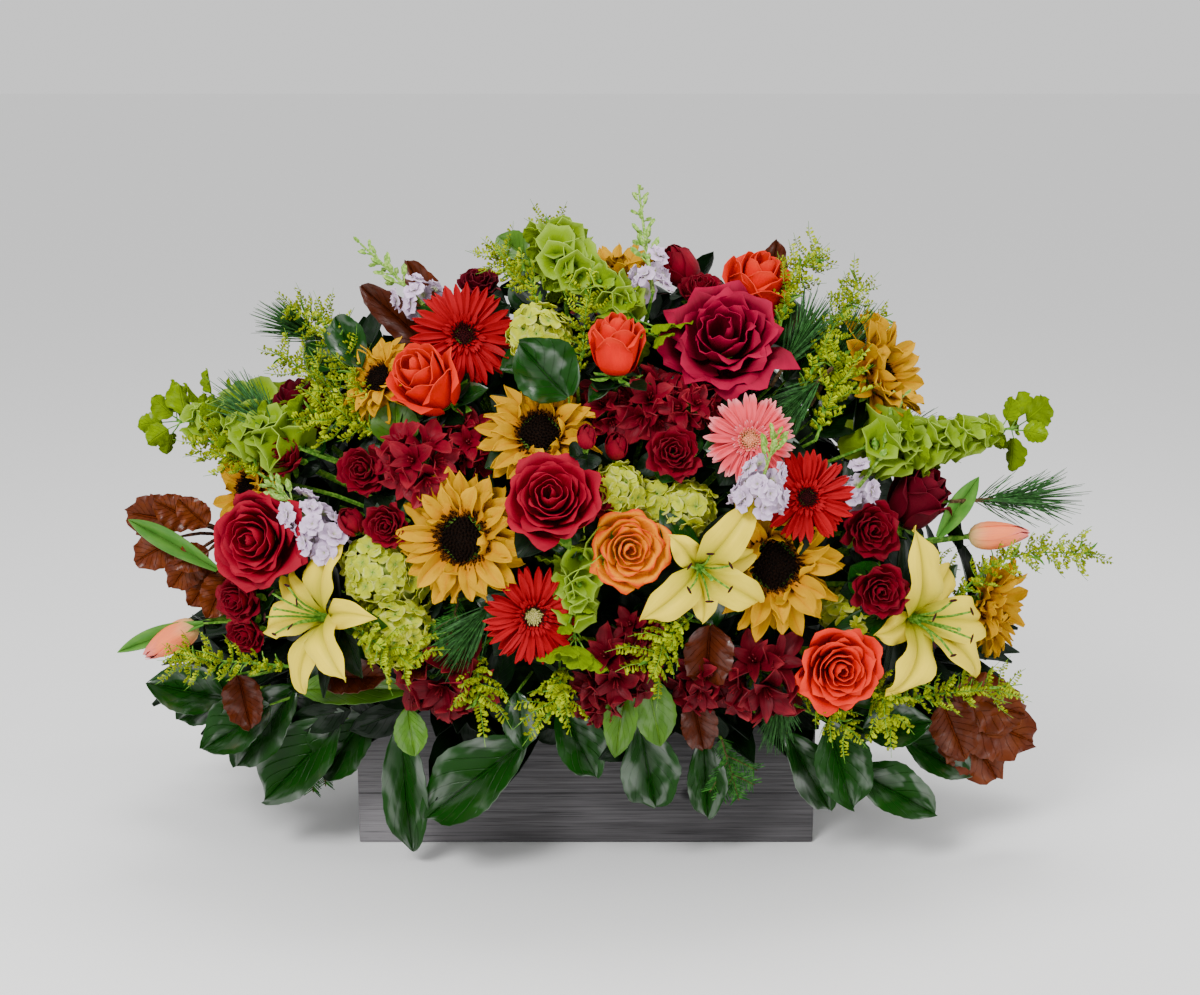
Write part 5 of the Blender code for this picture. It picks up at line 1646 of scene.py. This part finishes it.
class CENTERPIECE_OT_undergrowth(bpy.types.Operator):
    """Pack dark leaves and the stems of all the flowers round the middle"""

    bl_idname = "centerpiece.undergrowth"
    bl_label = "Undergrowth"

    # Pack dark leaves, darkened as painted shade, a dark core of painted shade, and the stems of all the
    # flowers round the middle
    def execute(self, context):
        # The dark leaf finish is partly painted shade.
        dark = leaf_finish("dark_leaf_painted_shade", (6, 22, 5), (24, 54, 18), (13, 40, 11), ribs=7, slant=2.4,
                           roughness=0.35, gloss=0.1, depth=0.7)
        shade = speckled_finish("packed_stems_painted_shade", (10, 22, 8), (24, 46, 16), grain=120, roughness=0.8)
        young = leaf_finish("mid_leaf", (16, 58, 8), (50, 106, 30), (26, 82, 16), ribs=7, slant=2.4,
                            roughness=0.28, gloss=0.15, depth=0.9, wax=0.6)
        chance = random.Random(11)
        # The core is a dark ball behind the flowers, and its colour is painted shade.
        core = added(bpy.ops.mesh.primitive_ico_sphere_add, subdivisions=4, radius=1)
        core.points = core.points * np.array(CORE_REACH) * 0.97 + np.array(CORE_CENTRE)
        core.points[:, 2] = np.maximum(core.points[:, 2], FOAM_TOP + 1)
        shapes = [core.painted(2), *fill_leaves(chance, context.scene.centerpiece_sizes.fill)]
        for foot, tip in rim_leaves(chance):
            face = (tip - foot).normalized().cross(Vector((-foot.y, foot.x, 0)).normalized())
            face = face if face.z > 0 else -face
            shapes.append(leaf_between(foot, tip, chance.uniform(30, 46), face + Vector((0, -0.4, 0)), chance,
                                       grain=(2, 6)))
        for _, kind, *place, across, turn, lift in BLOOMS:
            shapes += seat_leaves(chance, kind, place, across, turn, lift)
        feet = [Vector(row[1:4]) for row in STOCKS] + [path[0] for path in GOLDENRODS + BELLS]
        feet += [Vector(row[:3]) for row in PINES + FIRS] + [*BEECH_FEET.values()]
        for foot in feet:
            root = rooted(foot)
            line = smooth_path([root, root.lerp(foot, 0.6) + up(8), foot], 6)
            shapes.append(stalk(line, [1.8] * 5 + [1.2], 5, 1, 0.3))
        for x, y in ROOT_PLACES:
            path = [Vector((x, y, FOAM_TOP - 70)), Vector((x, y, FOAM_TOP + 30))]
            shapes.append(stalk(path, [4, 4], 8, 1, 0.3))
        piece("undergrowth", shapes, [dark, green_finish(), shade, young])
        return {"FINISHED"}


class CENTERPIECE_OT_stage(bpy.types.Operator):
    """Set the pale floor, the soft lights and the camera"""

    bl_idname = "centerpiece.stage"
    bl_label = "Stage"

    def execute(self, context):
        bpy.ops.object.select_all(action="DESELECT")
        bpy.ops.mesh.primitive_plane_add(size=400, location=(0, 0, -0.0005))
        floor = context.object
        floor.name = "floor"
        pale = Finish("pale_floor", base_color=(0.92, 0.92, 0.92), roughness=0.9)
        floor.data.materials.append(pale.material)
        world = bpy.data.worlds.new("studio")
        world.use_nodes = True
        sky = world.node_tree.nodes["Background"].inputs
        sky["Color"].default_value = (1, 1, 1, 1)
        sky["Strength"].default_value = 0.95
        context.scene.world = world
        middle = Vector((0, -0.05, 0.28))
        for name, place, size, power in (
                ("key", (-0.7, -1.7, 1.6), 0.6, 46), ("fill", (1.6, -1.3, 0.9), 1.0, 13),
                ("top", (0.2, 0.1, 2.1), 0.8, 18)):
            data = bpy.data.lights.new(name, "AREA")
            data.energy = power
            data.size = size
            lamp = self.hung(name, data, place)
            lamp.rotation_euler = (middle - lamp.location).to_track_quat("-Z", "Y").to_euler()
        data = bpy.data.cameras.new("view")
        data.lens = 54.6
        camera = self.hung("view", data, (0.0125, -1.6, 0.66))
        down = 12.69
        camera.rotation_euler = (radians(90 - down), 0, 0)
        context.scene.camera = camera
        return {"FINISHED"}

    def hung(self, name, data, place):
        obj = bpy.data.objects.new(name, data)
        obj.location = place
        bpy.context.scene.collection.objects.link(obj)
        return obj


class CENTERPIECE_PT_panel(bpy.types.Panel):
    """The centerpiece's pieces and settings"""

    bl_label = "Centerpiece"
    bl_idname = "CENTERPIECE_PT_panel"
    bl_space_type = "VIEW_3D"
    bl_region_type = "UI"
    bl_category = "Centerpiece"

    def draw(self, context):
        for group in (context.scene.centerpiece_sizes, context.scene.centerpiece_colours):
            column = self.layout.column(align=True)
            for name in group.__annotations__:
                column.prop(group, name)
        for operator in OPERATORS:
            self.layout.operator(operator.bl_idname)


OPERATORS = (
    CENTERPIECE_OT_box, CENTERPIECE_OT_sunflowers, CENTERPIECE_OT_gerberas, CENTERPIECE_OT_roses,
    CENTERPIECE_OT_spray_roses, CENTERPIECE_OT_lilies, CENTERPIECE_OT_tulips, CENTERPIECE_OT_hydrangeas,
    CENTERPIECE_OT_alstroemerias, CENTERPIECE_OT_stock, CENTERPIECE_OT_beech, CENTERPIECE_OT_goldenrod,
    CENTERPIECE_OT_bells, CENTERPIECE_OT_leaves, CENTERPIECE_OT_needles, CENTERPIECE_OT_undergrowth,
    CENTERPIECE_OT_stage)
CLASSES = (CenterpieceSizes, CenterpieceColours, *OPERATORS, CENTERPIECE_PT_panel)


def register():
    for each in CLASSES:
        bpy.utils.register_class(each)
    bpy.types.Scene.centerpiece_sizes = bpy.props.PointerProperty(type=CenterpieceSizes)
    bpy.types.Scene.centerpiece_colours = bpy.props.PointerProperty(type=CenterpieceColours)


def unregister():
    del bpy.types.Scene.centerpiece_colours
    del bpy.types.Scene.centerpiece_sizes
    for each in reversed(CLASSES):
        bpy.utils.unregister_class(each)


def main():
    register()
    for operator in OPERATORS:
        group, name = operator.bl_idname.split(".")
        getattr(getattr(bpy.ops, group), name)()


if __name__ == "__main__":
    main()
